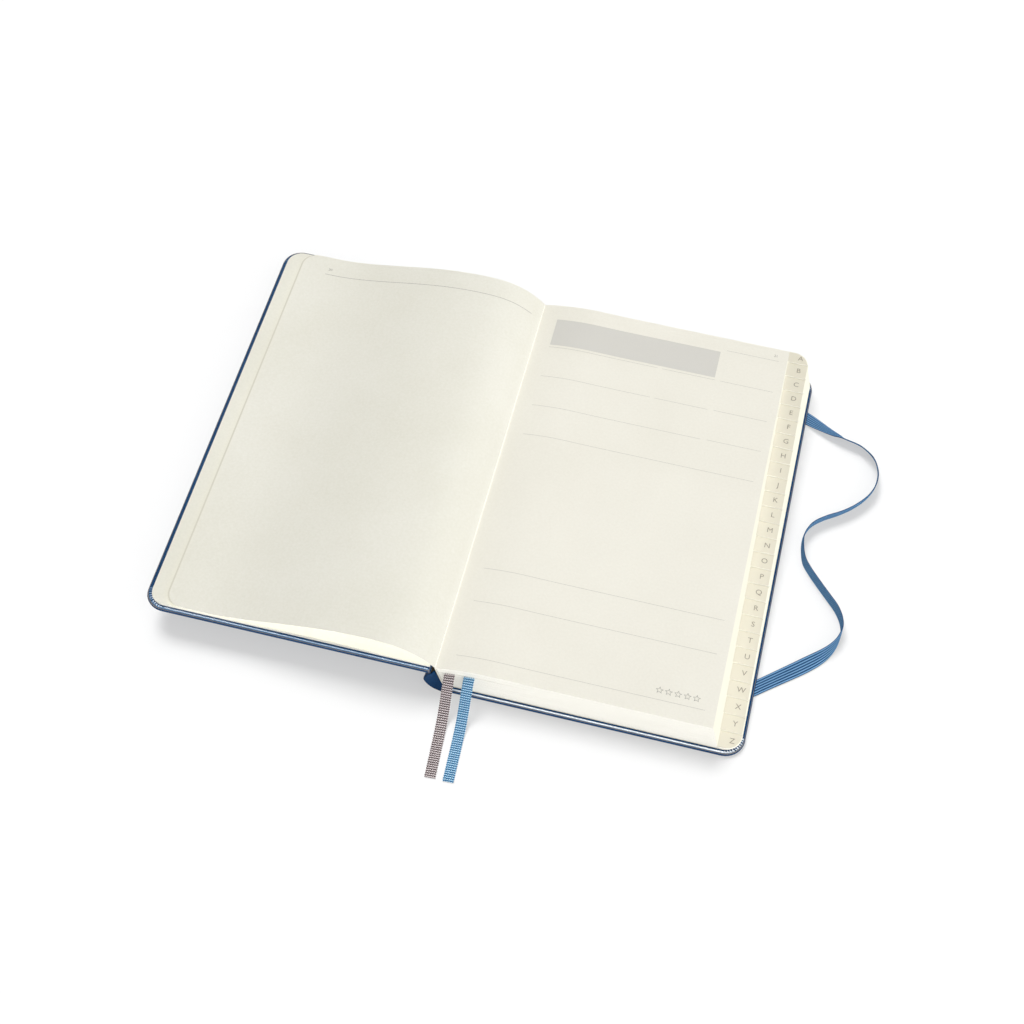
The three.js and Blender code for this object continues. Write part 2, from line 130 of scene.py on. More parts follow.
class CoverSettings(bpy.types.PropertyGroup):
    reach: length("Reach", "From the middle of the spread to a cover's fore-edge", 131.5)
    hinge_edge: length("Hinge edge", "From the middle of the spread to a cover's hinge edge", 3.8)
    half: length("Half height", "Half of a cover's height", 105)
    corner: length("Corner", "Radius of a cover's fore-edge corners", 9)
    hinge_corner: length("Hinge corner", "Radius of a cover's corners at the spine", 1.2)
    thickness: length("Thickness", "Board and wrap together", 2.4)
    leather: length("Leather", "Thickness of the leather at its cut edges", 0.3)
    softness: length("Edge softness", "How far the edge's round reaches inwards", 1.6)
    turn_in: length("Turn-in", "Width of the wrap's turned-in edge", 14)
    lift: length("Front lift", "Height of the open front cover's outer face", 12.8)
    corner_steps: count("Corner steps", "Points round a fore-edge corner", 65)
    edge_steps: count("Edge steps", "Rings round the edge", 11)
    pleats: count("Pleats", "Folds of the wrap round a fore-edge corner", 10)
    pleat_depth: length("Pleat depth", "Depth of a fold", 0.22)
    spine_thickness: length("Spine thickness", "Thickness of the soft spine", 0.5)
    spine_bead: length("Spine bead", "How much the folded ends of the spine stand out", 0.35)
    spine_bead_width: length("Spine bead width", "How far the fold reaches in from each end", 1.6)
    spine_thinning: share("Spine thinning", "How much of its thickness the spine loses at its ends", 0.6)
    spine_cap_inset: length("Spine cap inset", "From the spine's end to the leather that closes it", 0.1)
    spine_cap_depth: length("Spine cap depth", "How far that leather dips towards the leaves", 1.7)
    tone: colour("Tone", "Colour of the covers' leather", "1b426b")
    worn: colour("Worn tone", "Colour of its paler clouds", "224d78")
    crease: colour("Crease tone", "Colour between its pebbles", "102f50")
    coat: share("Coat", "Shine of the covers' leather", 0.35)
    # Colours of the painted highlight on each cover's tail edge.
    back_painted_highlight: colour("Back rub", "Colour of the back cover's tail edge with its painted highlight", "e9f2fa")
    front_painted_highlight: colour("Front rub", "Colour of the front cover's tail edge with its painted highlight", "6f8fb0")
    # Painted shade: the spine's leather is a darker copy of the covers' leather, for the shade round the
    # spine.
    spine_shaded_tone: colour("Spine tone", "Colour of the spine's leather", "043158")
    spine_shaded_worn: colour("Spine worn tone", "Colour of its paler clouds", "083f6d")
    spine_shaded_crease: colour("Spine crease tone", "Colour between its pebbles", "042340")
    spine_coat: share("Spine coat", "Shine of the spine's leather", 0.25)


class BlockSettings(bpy.types.PropertyGroup):
    half: length("Half height", "Half of a page's height", 103)
    corner: length("Corner", "Radius of a page's corners", 7)
    gutter: length("Gutter", "Where the two pages meet, along X", -1.8)
    gutter_gap: length("Gutter gap", "From the gutter to the fold of the first leaf", 0.05)
    fold_gap: length("Fold gap", "From the lining to the folds", 0.3)
    foot_fold: length("Foot fold", "Where the lowest leaf's fold lies, along X", 1.4)
    floor: length("Floor", "Height of the lowest index leaf", 3.9)
    sections: count("Sections", "Letters of the index", 26)
    pitch: length("Pitch", "From one section to the next", 0.58)
    thickness: length("Thickness", "Leaves of one section", 0.54)
    ribbon_slot: length("Ribbon slot", "Room for the ribbons between two sections", 0.35)
    over_ribbons: count("Over ribbons", "Sections that lie on the ribbons", 7)
    top_reach: length("Top reach", "Fore-edge of the first tab", 126.6)
    foot_reach: length("Foot reach", "Fore-edge of the last tab", 130)
    dip: length("Dip", "How far the leaves dip at the gutter", 3.5)
    dip_reach: length("Dip reach", "How far from the gutter the dip starts", 26)
    tab_width: length("Tab width", "Width of an index step", 9.6)
    tab_pitch: length("Tab pitch", "Height of an index step", 8)
    leaves: count("Leaves", "Leaves shown in each section", 4)
    columns: count("Columns", "Points across a leaf", 18)
    rows: count("Rows", "Straight stations along a leaf", 12)
    corner_steps: count("Corner steps", "Points round a leaf's corner", 9)
    unevenness: length("Unevenness", "How far the cut leaves stray from their edge", 0.035)
    leaf_share: share("Leaf share", "How much of its room a leaf fills", 0.97)
    sag_start: length("Sag start", "Where the leaves over the ribbons come down again", 17)
    sag_reach: length("Sag reach", "How far they take to come down", 24)
    sag: length("Sag", "How far they come down", 0.31)
    letter: length("Letter", "Type size of the tab letters", 3.7)
    end_leaves: count("End leaves", "Leaves behind the index", 3)
    end_floor: length("End floor", "Height of the last end leaf", 3.35)
    end_thickness: length("End thickness", "End leaves together", 0.5)
    paper: colour("Paper", "Colour of the index leaves", "e9e6da")
    # Painted light: the cut edges are given a lighter colour than the page faces, for the light that reaches
    # them.
    cut_edge_painted_light: colour("Cut edge", "Colour of their cut edges", "fffdf4")
    tab_tone: colour("Tab tone", "Colour printed on the tabs", "e0dbc9")
    tab_lap: length("Tab lap", "How far that colour reaches in past the cut", 0.25)
    # Painted highlight: the tabs' outermost strip along the fore-edge is lighter, for the light it catches.
    rim: colour("Rim", "Colour of the tabs' outermost part", "f7f5e6")
    # Painted glow: the index leaves give out this light from their undersides and right-facing edges, tinted
    # bluish against their yellow cast.
    glow: share("Glow", "Light that comes through the thin edges", 0.12)
    glow_tone: colour("Glow tone", "Colour of that light", "c4cbff")


class LeftSettings(bpy.types.PropertyGroup):
    arch_reach: length("Arch reach", "Fore-edge of the top arched leaf", 121.6)
    reach: length("Reach", "Fore-edge of the leaves on the cover", 129.1)
    fold: length("Fold", "Where the leaves on the cover start", 4.4)
    floor: length("Floor", "Height of the lowest leaf on the front cover", 15.4)
    thickness: length("Thickness", "Leaves that lie on the front cover", 1)
    hump: length("Hump", "How far they rise", 1.1)
    hump_start: length("Hump start", "Where the rise starts", 6)
    hump_end: length("Hump end", "Where the rise ends", 100)
    leaves: count("Leaves", "Leaves shown on the front cover", 7)
    foot_rise: length("Foot rise", "Height of the arch's foot over those leaves", 1)
    crest: length("Crest", "Where the arch is highest", 33)
    crest_lift: length("Crest lift", "Height of the crest over the cover", 12.4)
    foot: length("Foot", "Where the arch comes down to the cover", 104)
    arch_fold: length("Arch fold", "From the gutter to the fold of the arched leaves", 0.29)
    flat_share: share("Flat share", "How much of its rise the arch keeps when the book is closed", 0.125)
    flat_gap: length("Flat gap", "Height over the leaves on the cover that the arch sinks towards", 0.2)
    cover_gap: length("Cover gap", "From the cover's inner face to the lowest leaf", 0.2)
    gutter_lift: length("Gutter lift", "Height of the arch's fold over the gutter", 0.27)
    gutter_power: share("Gutter power", "How steeply the arch leaves the gutter", 2.8)
    fall_power: share("Fall power", "How full the arch's fall is", 0.85)
    arched: count("Arched leaves", "Leaves that arch up from the gutter", 2)
    thickness_arched: length("Arched thickness", "Thickness of the arched leaves together", 0.3)
    arch_step: length("Arch step", "How much further each arched leaf reaches than the one above", 0.4)
    leaf: length("Leaf", "Thickness of an arched leaf", 0.13)
    trim: length("Trim", "How much shorter the arched leaves are at head and tail", 0.05)
    columns: count("Columns", "Points across a leaf", 44)
    # Painted shade: the leaves on the left get a darker copy of the index paper's colour, for the dimmer
    # light on the left page.
    paper: colour("Paper", "Colour of the leaves on the left", "e1dfd2")
    # Painted light: the arched leaves' edges are lighter than their faces, and this is also the colour of
    # their painted glow.
    cut_edge_painted_light: colour("Cut edge", "Colour of the arched leaves' edges and undersides", "fffefa")
    # Painted shade: a thin strip along the arched leaves' fore-edge is darker, for the shade at their edge.
    rim: colour("Rim", "Colour of the arched leaves' outermost part", "d2cfc0")
    # Painted glow: the arched leaves give out light from their undersides and right-facing edges, which
    # brightens the shade under the arch.
    glow: share("Glow", "Light that comes through the arched leaves", 0.9)


class StrapSettings(bpy.types.PropertyGroup):
    width: length("Width", "Width of the strap", 6.6)
    thickness: length("Thickness", "Thickness of the strap", 0.55)
    room: length("Room", "Thickness that its slits and channels are cut for", 0.8)
    floor: length("Floor", "How far the strap lies above the table", 0.05)
    slit: length("Slit", "Where the strap's slits are, along X", 125.4)
    slit_gap: length("Slit gap", "Between the strap and its glued end", 0.6)
    turn_out: length("Turn place", "From the slit to where the strap turns", 3)
    turn_gap: length("Turn gap", "How far before that place the strap still runs straight", 0.3)
    head: length("Head", "Height of the upper slit along the page", 82.2)
    head_turn: angle("Head turn", "How far the strap turns at the head", -28)
    tail: length("Tail", "Height of the lower slit along the page", -71.8)
    tail_turn: angle("Tail turn", "How far the strap turns at the tail", 40)
    channel_width: length("Channel width", "Width of the channel in the cover", 7.2)
    channel_spread: length("Channel spread", "How much wider the channel is past the turn", 0.6)
    channel_reach: length("Channel reach", "How far past the turn the channel is cut", 12.2)
    channel_depth: length("Channel depth", "Depth of the channel in the cover", 0.9)
    steps: count("Steps", "Stations along the strap", 240)
    ribs: count("Ribs", "Ribs across the strap", 6)
    rib_depth: length("Rib depth", "Height of a rib", 0.09)
    # Painted highlight: the ribs' light tone stands for the highlight along them; the groove tone is the
    # band's dark colour.
    tone: colour("Tone", "Colour of the ribs", "7fadd6")
    groove: colour("Groove", "Colour between the ribs", "10365f")


class RibbonSettings(bpy.types.PropertyGroup):
    width: length("Width", "Width of a ribbon", 4.7)
    thickness: length("Thickness", "Thickness of a ribbon", 0.25)
    bed_gap: length("Bed gap", "Between the ribbon and the leaf below", 0.05)
    head_margin: length("Head margin", "From the head of the page to the ribbon's inner end", 4)
    level_reach: length("Level reach", "How far out the ribbon has turned level", 14)
    grey_x: length("Grey place", "Where the grey ribbon lies, along X", 4.4)
    grey_shift: length("Grey shift", "How far its end strays along X", 2.6)
    blue_x: length("Blue place", "Where the blue ribbon lies, along X", 12.9)
    blue_shift: length("Blue shift", "How far its end strays along X", 1.9)
    steps: count("Steps", "Stations along a ribbon's free end", 90)
    held_steps: count("Held steps", "Stations along the part between the leaves", 9)
    stitches: share("Stitches", "Columns of stitches across a ribbon", 5)
    row: length("Row", "Height of a row of stitches", 1.02)
    grey_tone: colour("Grey tone", "Colour of the grey ribbon", "9c8d8e")
    grey_light: colour("Grey light", "Colour of its stitches", "efe6e6")
    grey_dark: colour("Grey dark", "Colour between its rows", "3a2e2f")
    blue_tone: colour("Blue tone", "Colour of the blue ribbon", "4c9fd2")
    blue_light: colour("Blue light", "Colour of its stitches", "cdefff")
    blue_dark: colour("Blue dark", "Colour between its rows", "124a7a")


class PrintSettings(bpy.types.PropertyGroup):
    lift: length("Lift", "Height of the ink over the paper", 0.05)
    rule: length("Rule", "Thickness of a printed rule", 0.19)
    star: length("Star", "Radius of a star", 1.75)
    star_line: share("Star line", "How much of a star's radius its line takes", 0.26)
    star_waist: share("Star waist", "How much of a star's radius its inner corners have", 0.45)
    figure: length("Figure", "Type size of the page numbers", 1.9)
    letter_place: share("Letter place", "From a tab's fore-edge to its letter, as a share of the tab", 0.42)
    letters: colour("Letters", "Ink of the tab letters", "989081")
    rules: colour("Rules", "Ink of the rules on the right page", "c4c2b8")
    box: colour("Box", "Ink of the box", "d3d1ca")
    marks: colour("Marks", "Ink of the stars and the number on the right page", "9b988e")
    # Painted shade: the left page's ink is a darker copy of the right page's mark ink, for the dimmer light
    # on the left page.
    left_marks: colour("Left marks", "Ink of the rule and the number on the left page", "8f8c82")


SETTINGS = {
    "journal_stage": StageSettings,
    "journal_cover": CoverSettings,
    "journal_block": BlockSettings,
    "journal_left": LeftSettings,
    "journal_strap": StrapSettings,
    "journal_ribbon": RibbonSettings,
    "journal_print": PrintSettings,
}

# The strap's route: how far out from the cover's fore-edge in millimetres, the share of the way
# from its head slit to its tail slit, and how far the band leans from flat, in degrees. It lies
# flat at the cover's edge, at 180, and stands on its edge between.
STRAP_ROUTE = [
    (-1.2, 0.007, 180), (0.7, 0.013, 180), (9.3, 0.043, 158), (15.1, 0.060, 143), (19.2, 0.070, 128),
    (26.5, 0.083, 125), (30.8, 0.101, 122), (34.4, 0.127, 115), (36.5, 0.162, 105), (37.0, 0.196, 94),
    (35.9, 0.238, 84), (33.1, 0.276, 79), (28.2, 0.316, 77), (22.7, 0.348, 76), (16.4, 0.377, 78),
    (11.7, 0.406, 81), (9.3, 0.436, 85), (8.4, 0.472, 89), (10.5, 0.539, 88), (14.1, 0.574, 89),
    (18.8, 0.610, 89), (23.9, 0.647, 89), (28.1, 0.678, 88), (30.9, 0.710, 89), (32.1, 0.740, 91),
    (31.4, 0.775, 98), (29.9, 0.802, 107), (26.4, 0.836, 124), (17.8, 0.887, 158), (9.5, 0.931, 174),
    (1.8, 0.973, 180), (-1.2, 0.990, 180)]

# A ribbon's fall: how far out from the page's tail in millimetres, and its height as a share of
# its height at the page.
RIBBON_FALL = [
    (0.3, 1), (3.2, 0.95), (7.4, 0.68), (11.6, 0.36), (16.6, 0.12), (23, 0.035), (33, 0.026), (42.3, 0.026)]

# The spine's line in section, from the back cover's hinge to the front cover's, as X and Z in
# millimetres, and the line of the block's back that the spine's closed ends reach.
SPINE_LINE = [(3.5, 0.25), (0.95, 0.5), (-3.1, 2.4), (-6.2, 7.2), (-5.3, 10.1), (-4.4, 11.6), (-4.15, 12.5)]
BLOCK_BACK = [(1.2, 3.3), (-2.4, 13.2)]
SPINE_STEPS = 90

# Stations along the spine: how far in from each end, and between, in millimetres.
SPINE_ENDS = [0, 0.1, 0.3, 0.6, 1, 1.5, 2.2, 4, 12]
SPINE_BETWEEN = [-40, 0, 40]

# Where the wrap's flat outer face has a ring of points, in millimetres in from the cover's edge.
# Then the rings over the turned-in leather, each with the share of the pleats' depth left there.
OUTER_RING = 5
PLEAT_FADE = [(2, 0.7), (4, 0.4), (7, 0.0)]

# How the pleats grow round the edge, as a share of its half turn that is added and a power, and
# the power that makes their folds narrow.
PLEAT_LEAD = 0.35
PLEAT_GROWTH = 0.7
PLEAT_NARROWNESS = 0.6

# The least radius of a corner that is moved inwards, and the points round a corner at the spine.
LEAST_CORNER = 0.05 * MM
HINGE_CORNER_STEPS = 7

# Rows of points in the leather that closes the spine's ends, and the power of its dip.
CAP_ROWS = 9
CAP_POWER = 1.5

# The powers of the cosine and the sine in a band's section: the further below 1, the squarer.
PLAIN_SECTION = (0.45, 0.6)
RIBBED_SECTION = (1, 0.3)
GROOVE_POWER = 6

# The power that brings a leaf's points closer together near its fold.
LEAF_POWER = 1.5

# Half the distance between the two stations that make the corner of an index step sharp.
STEP_CORNER = 0.01 * MM

# Width of the rim along a leaf's fore-edge that has its own tone, and of its soft border.
RIM = 0.25 * MM
RIM_BORDER = 0.15 * MM

# Width of the soft border of a tab's tone, and the threads of the book cloth and of the elastic.
TAB_BORDER = 0.2 * MM
CLOTH_THREAD = 0.42 * MM
ELASTIC_THREAD = 0.6 * MM

# Printed rules on the right page, in millimetres: where each starts and ends along X, and its
# height on the page. Then the other marks, and the columns of points in a rule on either page.
RULES = [
    (5.8, 58.0, 76.9), (60.3, 85.5, 76.9), (87.9, 112.9, 95.7), (87.9, 112.9, 76.9),
    (5.8, 57.9, 59.0), (59.9, 85.0, 59.0), (87.9, 112.9, 59.2), (5.9, 84.9, 41.4), (87.9, 112.9, 41.7),
    (5.7, 112.4, 24.2), (5.9, 112.3, -50.7), (5.8, 112.1, -67.8), (5.1, 111.9, -95.5)]
TITLE_BOX = (5.9, 85.1, 78.3, 94.2)
STARS_X = [91.8, 95.7, 99.7, 103.7, 107.6]
STARS_Y = -91
RIGHT_FIGURE = (111, 98.6)
LEFT_FIGURE = (-107.2, 95.4)
LEFT_RULE = (-109, -6.5, 92.3)
RIGHT_COLUMNS = 24
LEFT_COLUMNS = 80


class Field:
    """A number or colour that varies over a surface: a node's output, with arithmetic."""

    def __init__(self, look, socket):
        self.look = look
        self.socket = socket

    def maths(self, operation, *others, first=None):
        """One step of arithmetic on this field and others, or on a first number and this field."""
        values = (self, *others) if first is None else (first, self)
        return self.look.node("ShaderNodeMath", dict(enumerate(values)), operation=operation)

    def __add__(self, other):
        return self.maths("ADD", other)

    def __radd__(self, other):
        return self.maths("ADD", other)

    def __sub__(self, other):
        return self.maths("SUBTRACT", other)

    def __rsub__(self, other):
        return self.maths("SUBTRACT", first=other)

    def __mul__(self, other):
        return self.maths("MULTIPLY", other)

    def __rmul__(self, other):
        return self.maths("MULTIPLY", other)

    def __truediv__(self, other):
        return self.maths("DIVIDE", other)

    def __rtruediv__(self, other):
        return self.maths("DIVIDE", first=other)

    def absolute(self):
        return self.maths("ABSOLUTE")

    def fraction(self):
        return self.maths("FRACT")

    def sine(self):
        return self.maths("SINE")

    def most(self, other):
        return self.maths("MAXIMUM", other)

    def ramp(self, low, high):
        """0 below low, 1 above high, and a straight line between."""
        return self.look.node(
            "ShaderNodeMapRange", {"Value": self, "From Min": low, "From Max": high}, output="Result")


class Look:
    """A material and the nodes that give it its detail."""

    def __init__(self, name, **uniform):
        self.material = bpy.data.materials.new(name)
        self.material.use_nodes = True
        self.tree = self.material.node_tree
        self.shader = self.tree.nodes["Principled BSDF"]
        for socket, value in uniform.items():
            self.shader.inputs[socket.replace("_", " ").title().replace("Ior", "IOR")].default_value = value

    def node(self, kind, inputs=None, output=0, **options):
        """Any other node: its options are set first, then its sockets get values or links."""
        made = self.tree.nodes.new(kind)
        for option, value in options.items():
            setattr(made, option, value)
        for key, value in (inputs or {}).items():
            socket = made.inputs[key]
            if isinstance(value, Field):
                self.tree.links.new(value.socket, socket)
            else:
                socket.default_value = value
        return Field(self, made.outputs[output])

    def place(self):
        """Where a point lies on the object."""
        return self.node("ShaderNodeTexCoord", output="Object")

    def parts(self, vector):
        """A vector's three numbers."""
        return [self.node("ShaderNodeSeparateXYZ", {0: vector}, output=i) for i in range(3)]

    def kept(self, name):
        """A number that the mesh keeps for each point."""
        return self.node("ShaderNodeAttribute", output="Fac", attribute_name=name)

    def noise(self, vector, scale, detail=3.0):
        inputs = {"Vector": vector, "Scale": scale, "Detail": detail}
        return self.node("ShaderNodeTexNoise", inputs, output="Fac")

    def mix(self, factor, first, second):
        return self.node("ShaderNodeMix", {0: factor, 6: first, 7: second}, output=2, data_type="RGBA")

    def bump(self, height, distance, strength=1.0):
        return self.node("ShaderNodeBump", {"Height": height, "Distance": distance, "Strength": strength})

    def drive(self, **varying):
        """Links what varies to the shader's sockets, and gives the material."""
        for socket, field in varying.items():
            self.tree.links.new(field.socket, self.shader.inputs[socket.replace("_", " ").title()])
        return self.material


def leather_look(name, face, worn, crease, coat, painted_highlight=None):
    """Leatherette: pebbles with dark creases between them, faint clouds, and a painted highlight on the tail
    edge.
    """
    look = Look(name, specular_ior_level=0.0, coat_weight=coat, coat_roughness=0.2)
    place = look.place()
    cells = {"Vector": place, "Scale": 1500.0}
    pebbles = look.node("ShaderNodeTexVoronoi", cells, output="Distance", feature="DISTANCE_TO_EDGE")
    raised = pebbles.ramp(0.0, 0.22)
    fine = look.noise(place, 5200.0)
    cloud = look.noise(place, 38.0)
    colour = look.mix(cloud.ramp(0.35, 0.7), face, worn)
    colour = look.mix((1 - raised) * 0.55, colour, crease)
    # Painted highlight: where the edge's upper round faces up and towards the tail, the colour goes most of
    # the way to the highlight colour. Where the round faces down, it goes a little way, as a painted
    # reflection of the floor.
    if painted_highlight:
        _, ahead, upright = look.parts(look.node("ShaderNodeTexCoord", output="Normal"))
        painted_highlight_mask = upright.ramp(0.85, 0.92) * upright.ramp(0.996, 0.98) * ahead.ramp(-0.05, -0.15)
        lower = upright.ramp(-0.4, -0.8) * upright.ramp(-0.999, -0.99)
        colour = look.mix(painted_highlight_mask * 0.85 + lower * 0.2, colour, painted_highlight)
    height = raised + fine * 0.25
    return look.drive(
        base_color=colour, roughness=0.62 - raised * 0.12 + fine * 0.1,
        normal=look.bump(height, 0.00005, 0.7))


def paper_look(name, page, edge, tab=None, rim=None, glow=0.0, light=None):
    """Ivory paper: fibres, cut edges lighter as painted light, a rim at the fore-edge, a tone on the tabs, a
    painted glow.

    The rim is a painted highlight on the tabs and painted shade on the arched leaves. The glow is emission
    that stands in for light through thin leaves; it comes out of undersides and of edges that face right.
    """
    look = Look(name, specular_ior_level=0.0, emission_strength=glow)
    place = look.place()
    fibre = look.noise(place, 900.0, 6.0)
    cloud = look.noise(place, 22.0, 2.0)
    colour = look.mix((fibre * 0.5 + cloud * 0.5).ramp(0.3, 0.7), page, edge)
    colour = look.mix(0.72, colour, page)
    if tab:
        past_start = look.parts(place)[0] - look.kept("tab_start")
        colour = look.mix(past_start.ramp(0.0, TAB_BORDER), colour, tab)
    # The rim is painted: lighter as a highlight along the tabs' fore-edge, darker as shade along the arched
    # leaves' fore-edge.
    if rim:
        colour = look.mix(look.kept("from_edge").ramp(RIM + RIM_BORDER, RIM), colour, rim)
    outward, _, upright = look.parts(look.node("ShaderNodeTexCoord", output="Normal"))
    # Painted light: faces that stand upright, the cut edges, take the lighter edge colour for the light that
    # reaches them.
    colour = look.mix(upright.absolute().ramp(0.75, 0.35), colour, edge)
    # Painted glow: emission from undersides and right-facing edges, standing in for light through thin
    # paper.
    if glow:
        lit = upright.ramp(-0.3, -0.8).most(outward.ramp(0.9, 0.97))
        look.drive(emission_color=look.mix(lit, linear("000000"), light or edge))
    return look.drive(
        base_color=colour, roughness=0.82 + fibre * 0.12, normal=look.bump(fibre, 0.00002, 0.25))


def ink_look(name, tone, paper):
    """Printed ink: its tone broken up a little by the paper's fibres."""
    look = Look(name, specular_ior_level=0.0)
    speck = look.noise(look.place(), 2600.0, 2.0)
    colour = look.mix(speck.ramp(0.35, 0.85) * 0.35, tone, paper)
    return look.drive(base_color=colour, roughness=0.85 + speck * 0.1)


def board_look(name, tone, fleck):
    """Grey board or card: pressed fibres and flecks."""
    look = Look(name, specular_ior_level=0.1)
    place = look.place()
    fibre = look.noise(place, 700.0, 5.0)
    flecks = look.noise(place, 2300.0, 2.0).ramp(0.6, 0.75)
    colour = look.mix(fibre.ramp(0.3, 0.7) * 0.5 + flecks * 0.3, tone, fleck)
    return look.drive(
        base_color=colour, roughness=0.9 + fibre * 0.08, normal=look.bump(fibre, 0.00004, 0.5))


def cloth_look(name, tone, gap):
    """Plain-woven book cloth: threads that cross over and under each other."""
    look = Look(name, specular_ior_level=0.15)
    x, y, _ = look.parts(look.place())
    thread = 2 * math.pi / CLOTH_THREAD
    weave = (x * thread).sine() * (y * thread).sine()
    colour = look.mix(weave.ramp(-0.8, 0.6), gap, tone)
    return look.drive(
        base_color=colour, roughness=0.88 + weave * 0.06, normal=look.bump(weave, 0.00005, 0.6))


def elastic_look(name, light, dark, ribs):
    """Woven elastic: ribs along the band painted bright as a highlight, dark grooves, crossed by fine
    threads.
    """
    look = Look(name, specular_ior_level=0.0)
    across, along, _ = look.parts(look.node("ShaderNodeTexCoord", output="UV"))
    groove = ((across * ribs).fraction() - 0.5).absolute().ramp(0.1, 0.3)
    thread = (along * (2 * math.pi / ELASTIC_THREAD)).sine()
    cloud = look.noise(look.place(), 300.0)
    # The ribs' light tone is a painted highlight on the band's dark weave; the grooves show its dark colour.
    colour = look.mix(groove * 0.85 + thread * 0.07 + cloud * 0.1, light, dark)
    height = (1 - groove) + thread * 0.2
    return look.drive(
        base_color=colour, roughness=0.7 + groove * 0.15, normal=look.bump(height, 0.0001, 0.8))


def ribbon_look(name, tone, light, dark, columns, row):
    """Knitted ribbon: rows of light stitches, with a dark zigzag between the rows."""
    look = Look(name, specular_ior_level=0.05)
    across, along, _ = look.parts(look.node("ShaderNodeTexCoord", output="UV"))
    beside = ((across * columns).fraction() - 0.5).absolute()
    within = ((along / row + beside * 0.8).fraction() - 0.5).absolute()
    zigzag = within.ramp(0.22, 0.34)
    shown = within.ramp(0.26, 0.1) * beside.ramp(0.02, 0.2)
    colour = look.mix(shown, tone, light)
    colour = look.mix(zigzag, colour, dark)
    return look.drive(
        base_color=colour, roughness=0.5 + zigzag * 0.3, normal=look.bump(shown - zigzag, 0.00012, 0.6))


def floor_look(name, tone, glow):
    """The pale table top: plain, with a barely visible mottle, and lit a little from inside."""
    look = Look(name, specular_ior_level=0.0, emission_color=(1.0, 1.0, 1.0, 1.0), emission_strength=glow)
    cloud = look.noise(look.place(), 3.0)
    colour = look.mix(cloud * 0.1, tone, linear("808080"))
    return look.drive(base_color=colour, roughness=0.9 + cloud * 0.05)


def grid(rows, columns, first=0):
    """Quads over a grid of points that are stored row by row."""
    corner = first + np.arange(rows - 1)[:, None] * columns + np.arange(columns - 1)
    return np.stack([corner, corner + 1, corner + columns + 1, corner + columns], axis=-1).reshape(-1, 4)


def tube(rows, columns):
    """Quads over closed rings of points, and one face over each end."""
    index = np.arange(rows * columns).reshape(rows, columns)
    after = np.roll(index, -1, axis=1)
    sides = np.stack([index[:-1], after[:-1], after[1:], index[1:]], axis=-1).reshape(-1, 4)
    return [*sides.tolist(), index[0][::-1].tolist(), index[-1].tolist()]


def closed_sheet(face, drop):
    """A thin closed sheet: a grid of points, the same grid moved, and a wall round their border."""
    rows, columns = face.shape[:2]
    total = rows * columns
    points = np.concatenate([face.reshape(-1, 3), (face + drop).reshape(-1, 3)])
    index = np.arange(total).reshape(rows, columns)
    border = np.concatenate([index[0, :-1], index[:-1, -1], index[-1, :0:-1], index[:0:-1, 0]])
    after = np.roll(border, -1)
    wall = np.stack([after, border, border + total, after + total], axis=-1)
    return points, np.concatenate([grid(rows, columns), grid(rows, columns, total)[:, ::-1], wall])


def joined(parts):
    """Several sets of points and of faces with any number of corners as one."""
    points = []
    faces = []
    first = 0
    for some_points, some_faces in parts:
        points.append(some_points)
        faces += [[corner + first for corner in face] for face in some_faces]
        first += len(some_points)
    return np.concatenate(points), faces


def make_piece(name, points, faces, material, smooth=35):
    """A mesh object at the origin, its faces outwards and its edges sharp above an angle in degrees."""
    mesh = bpy.data.meshes.new(name)
    mesh.from_pydata(points.tolist(), [], [list(map(int, face)) for face in faces])
    mesh.update()
    work = bmesh.new()
    work.from_mesh(mesh)
    bmesh.ops.recalc_face_normals(work, faces=work.faces)
    work.to_mesh(mesh)
    work.free()
    mesh.shade_smooth()
    mesh.set_sharp_from_angle(angle=math.radians(smooth))
    mesh.materials.append(material)
    piece = bpy.data.objects.new(name, mesh)
    bpy.context.scene.collection.objects.link(piece)
    return piece


def point_values(piece, name, values):
    """Keeps a number for each point of a piece, for its material to read."""
    attribute = piece.data.attributes.new(name, "FLOAT", "POINT")
    attribute.data.foreach_set("value", np.asarray(values, dtype=np.float32))


def point_uv(piece, across, along):
    """Lays a map over a piece from two numbers at each point."""
    layer = piece.data.uv_layers.new(name="UVMap")
    corners = np.empty(len(piece.data.loops), dtype=np.int32)
    piece.data.loops.foreach_get("vertex_index", corners)
    places = np.stack([across[corners], along[corners]], axis=-1)
    layer.data.foreach_set("uv", places.astype(np.float32).ravel())


def smooth_line(knots, steps, power=0.5, beyond=1):
    """Points on a Catmull-Rom curve through the knots, spread evenly over them.

    Each span's share of the curve is its length to a power: 0.5 is centripetal, 0 is uniform. Past
    both ends lies one more knot, as far beyond the last as that lies from its neighbour, or on it.
    """
    knots = np.asarray(knots, dtype=float)
    spans = len(knots) - 1
    ahead = knots[0] + beyond * (knots[0] - knots[1])
    behind = knots[-1] + beyond * (knots[-1] - knots[-2])
    rows = np.concatenate([[ahead], knots, [behind]])
    line = []
    for place in np.linspace(0, spans, steps + 1):
        i = min(int(place), spans - 1)
        u = place - i
        a, b, c, d = rows[i:i + 4]
        before, within, after = (np.linalg.norm(q - p) ** power for p, q in ((a, b), (b, c), (c, d)))
        leave = ((b - a) / before - (c - a) / (before + within) + (c - b) / within) * within
        arrive = ((c - b) / within - (d - b) / (within + after) + (d - c) / after) * within
        square = 3 * (c - b) - 2 * leave - arrive
        cube = leave + arrive - 2 * (c - b)
        line.append(b + leave * u + square * u ** 2 + cube * u ** 3)
    return np.array(line)


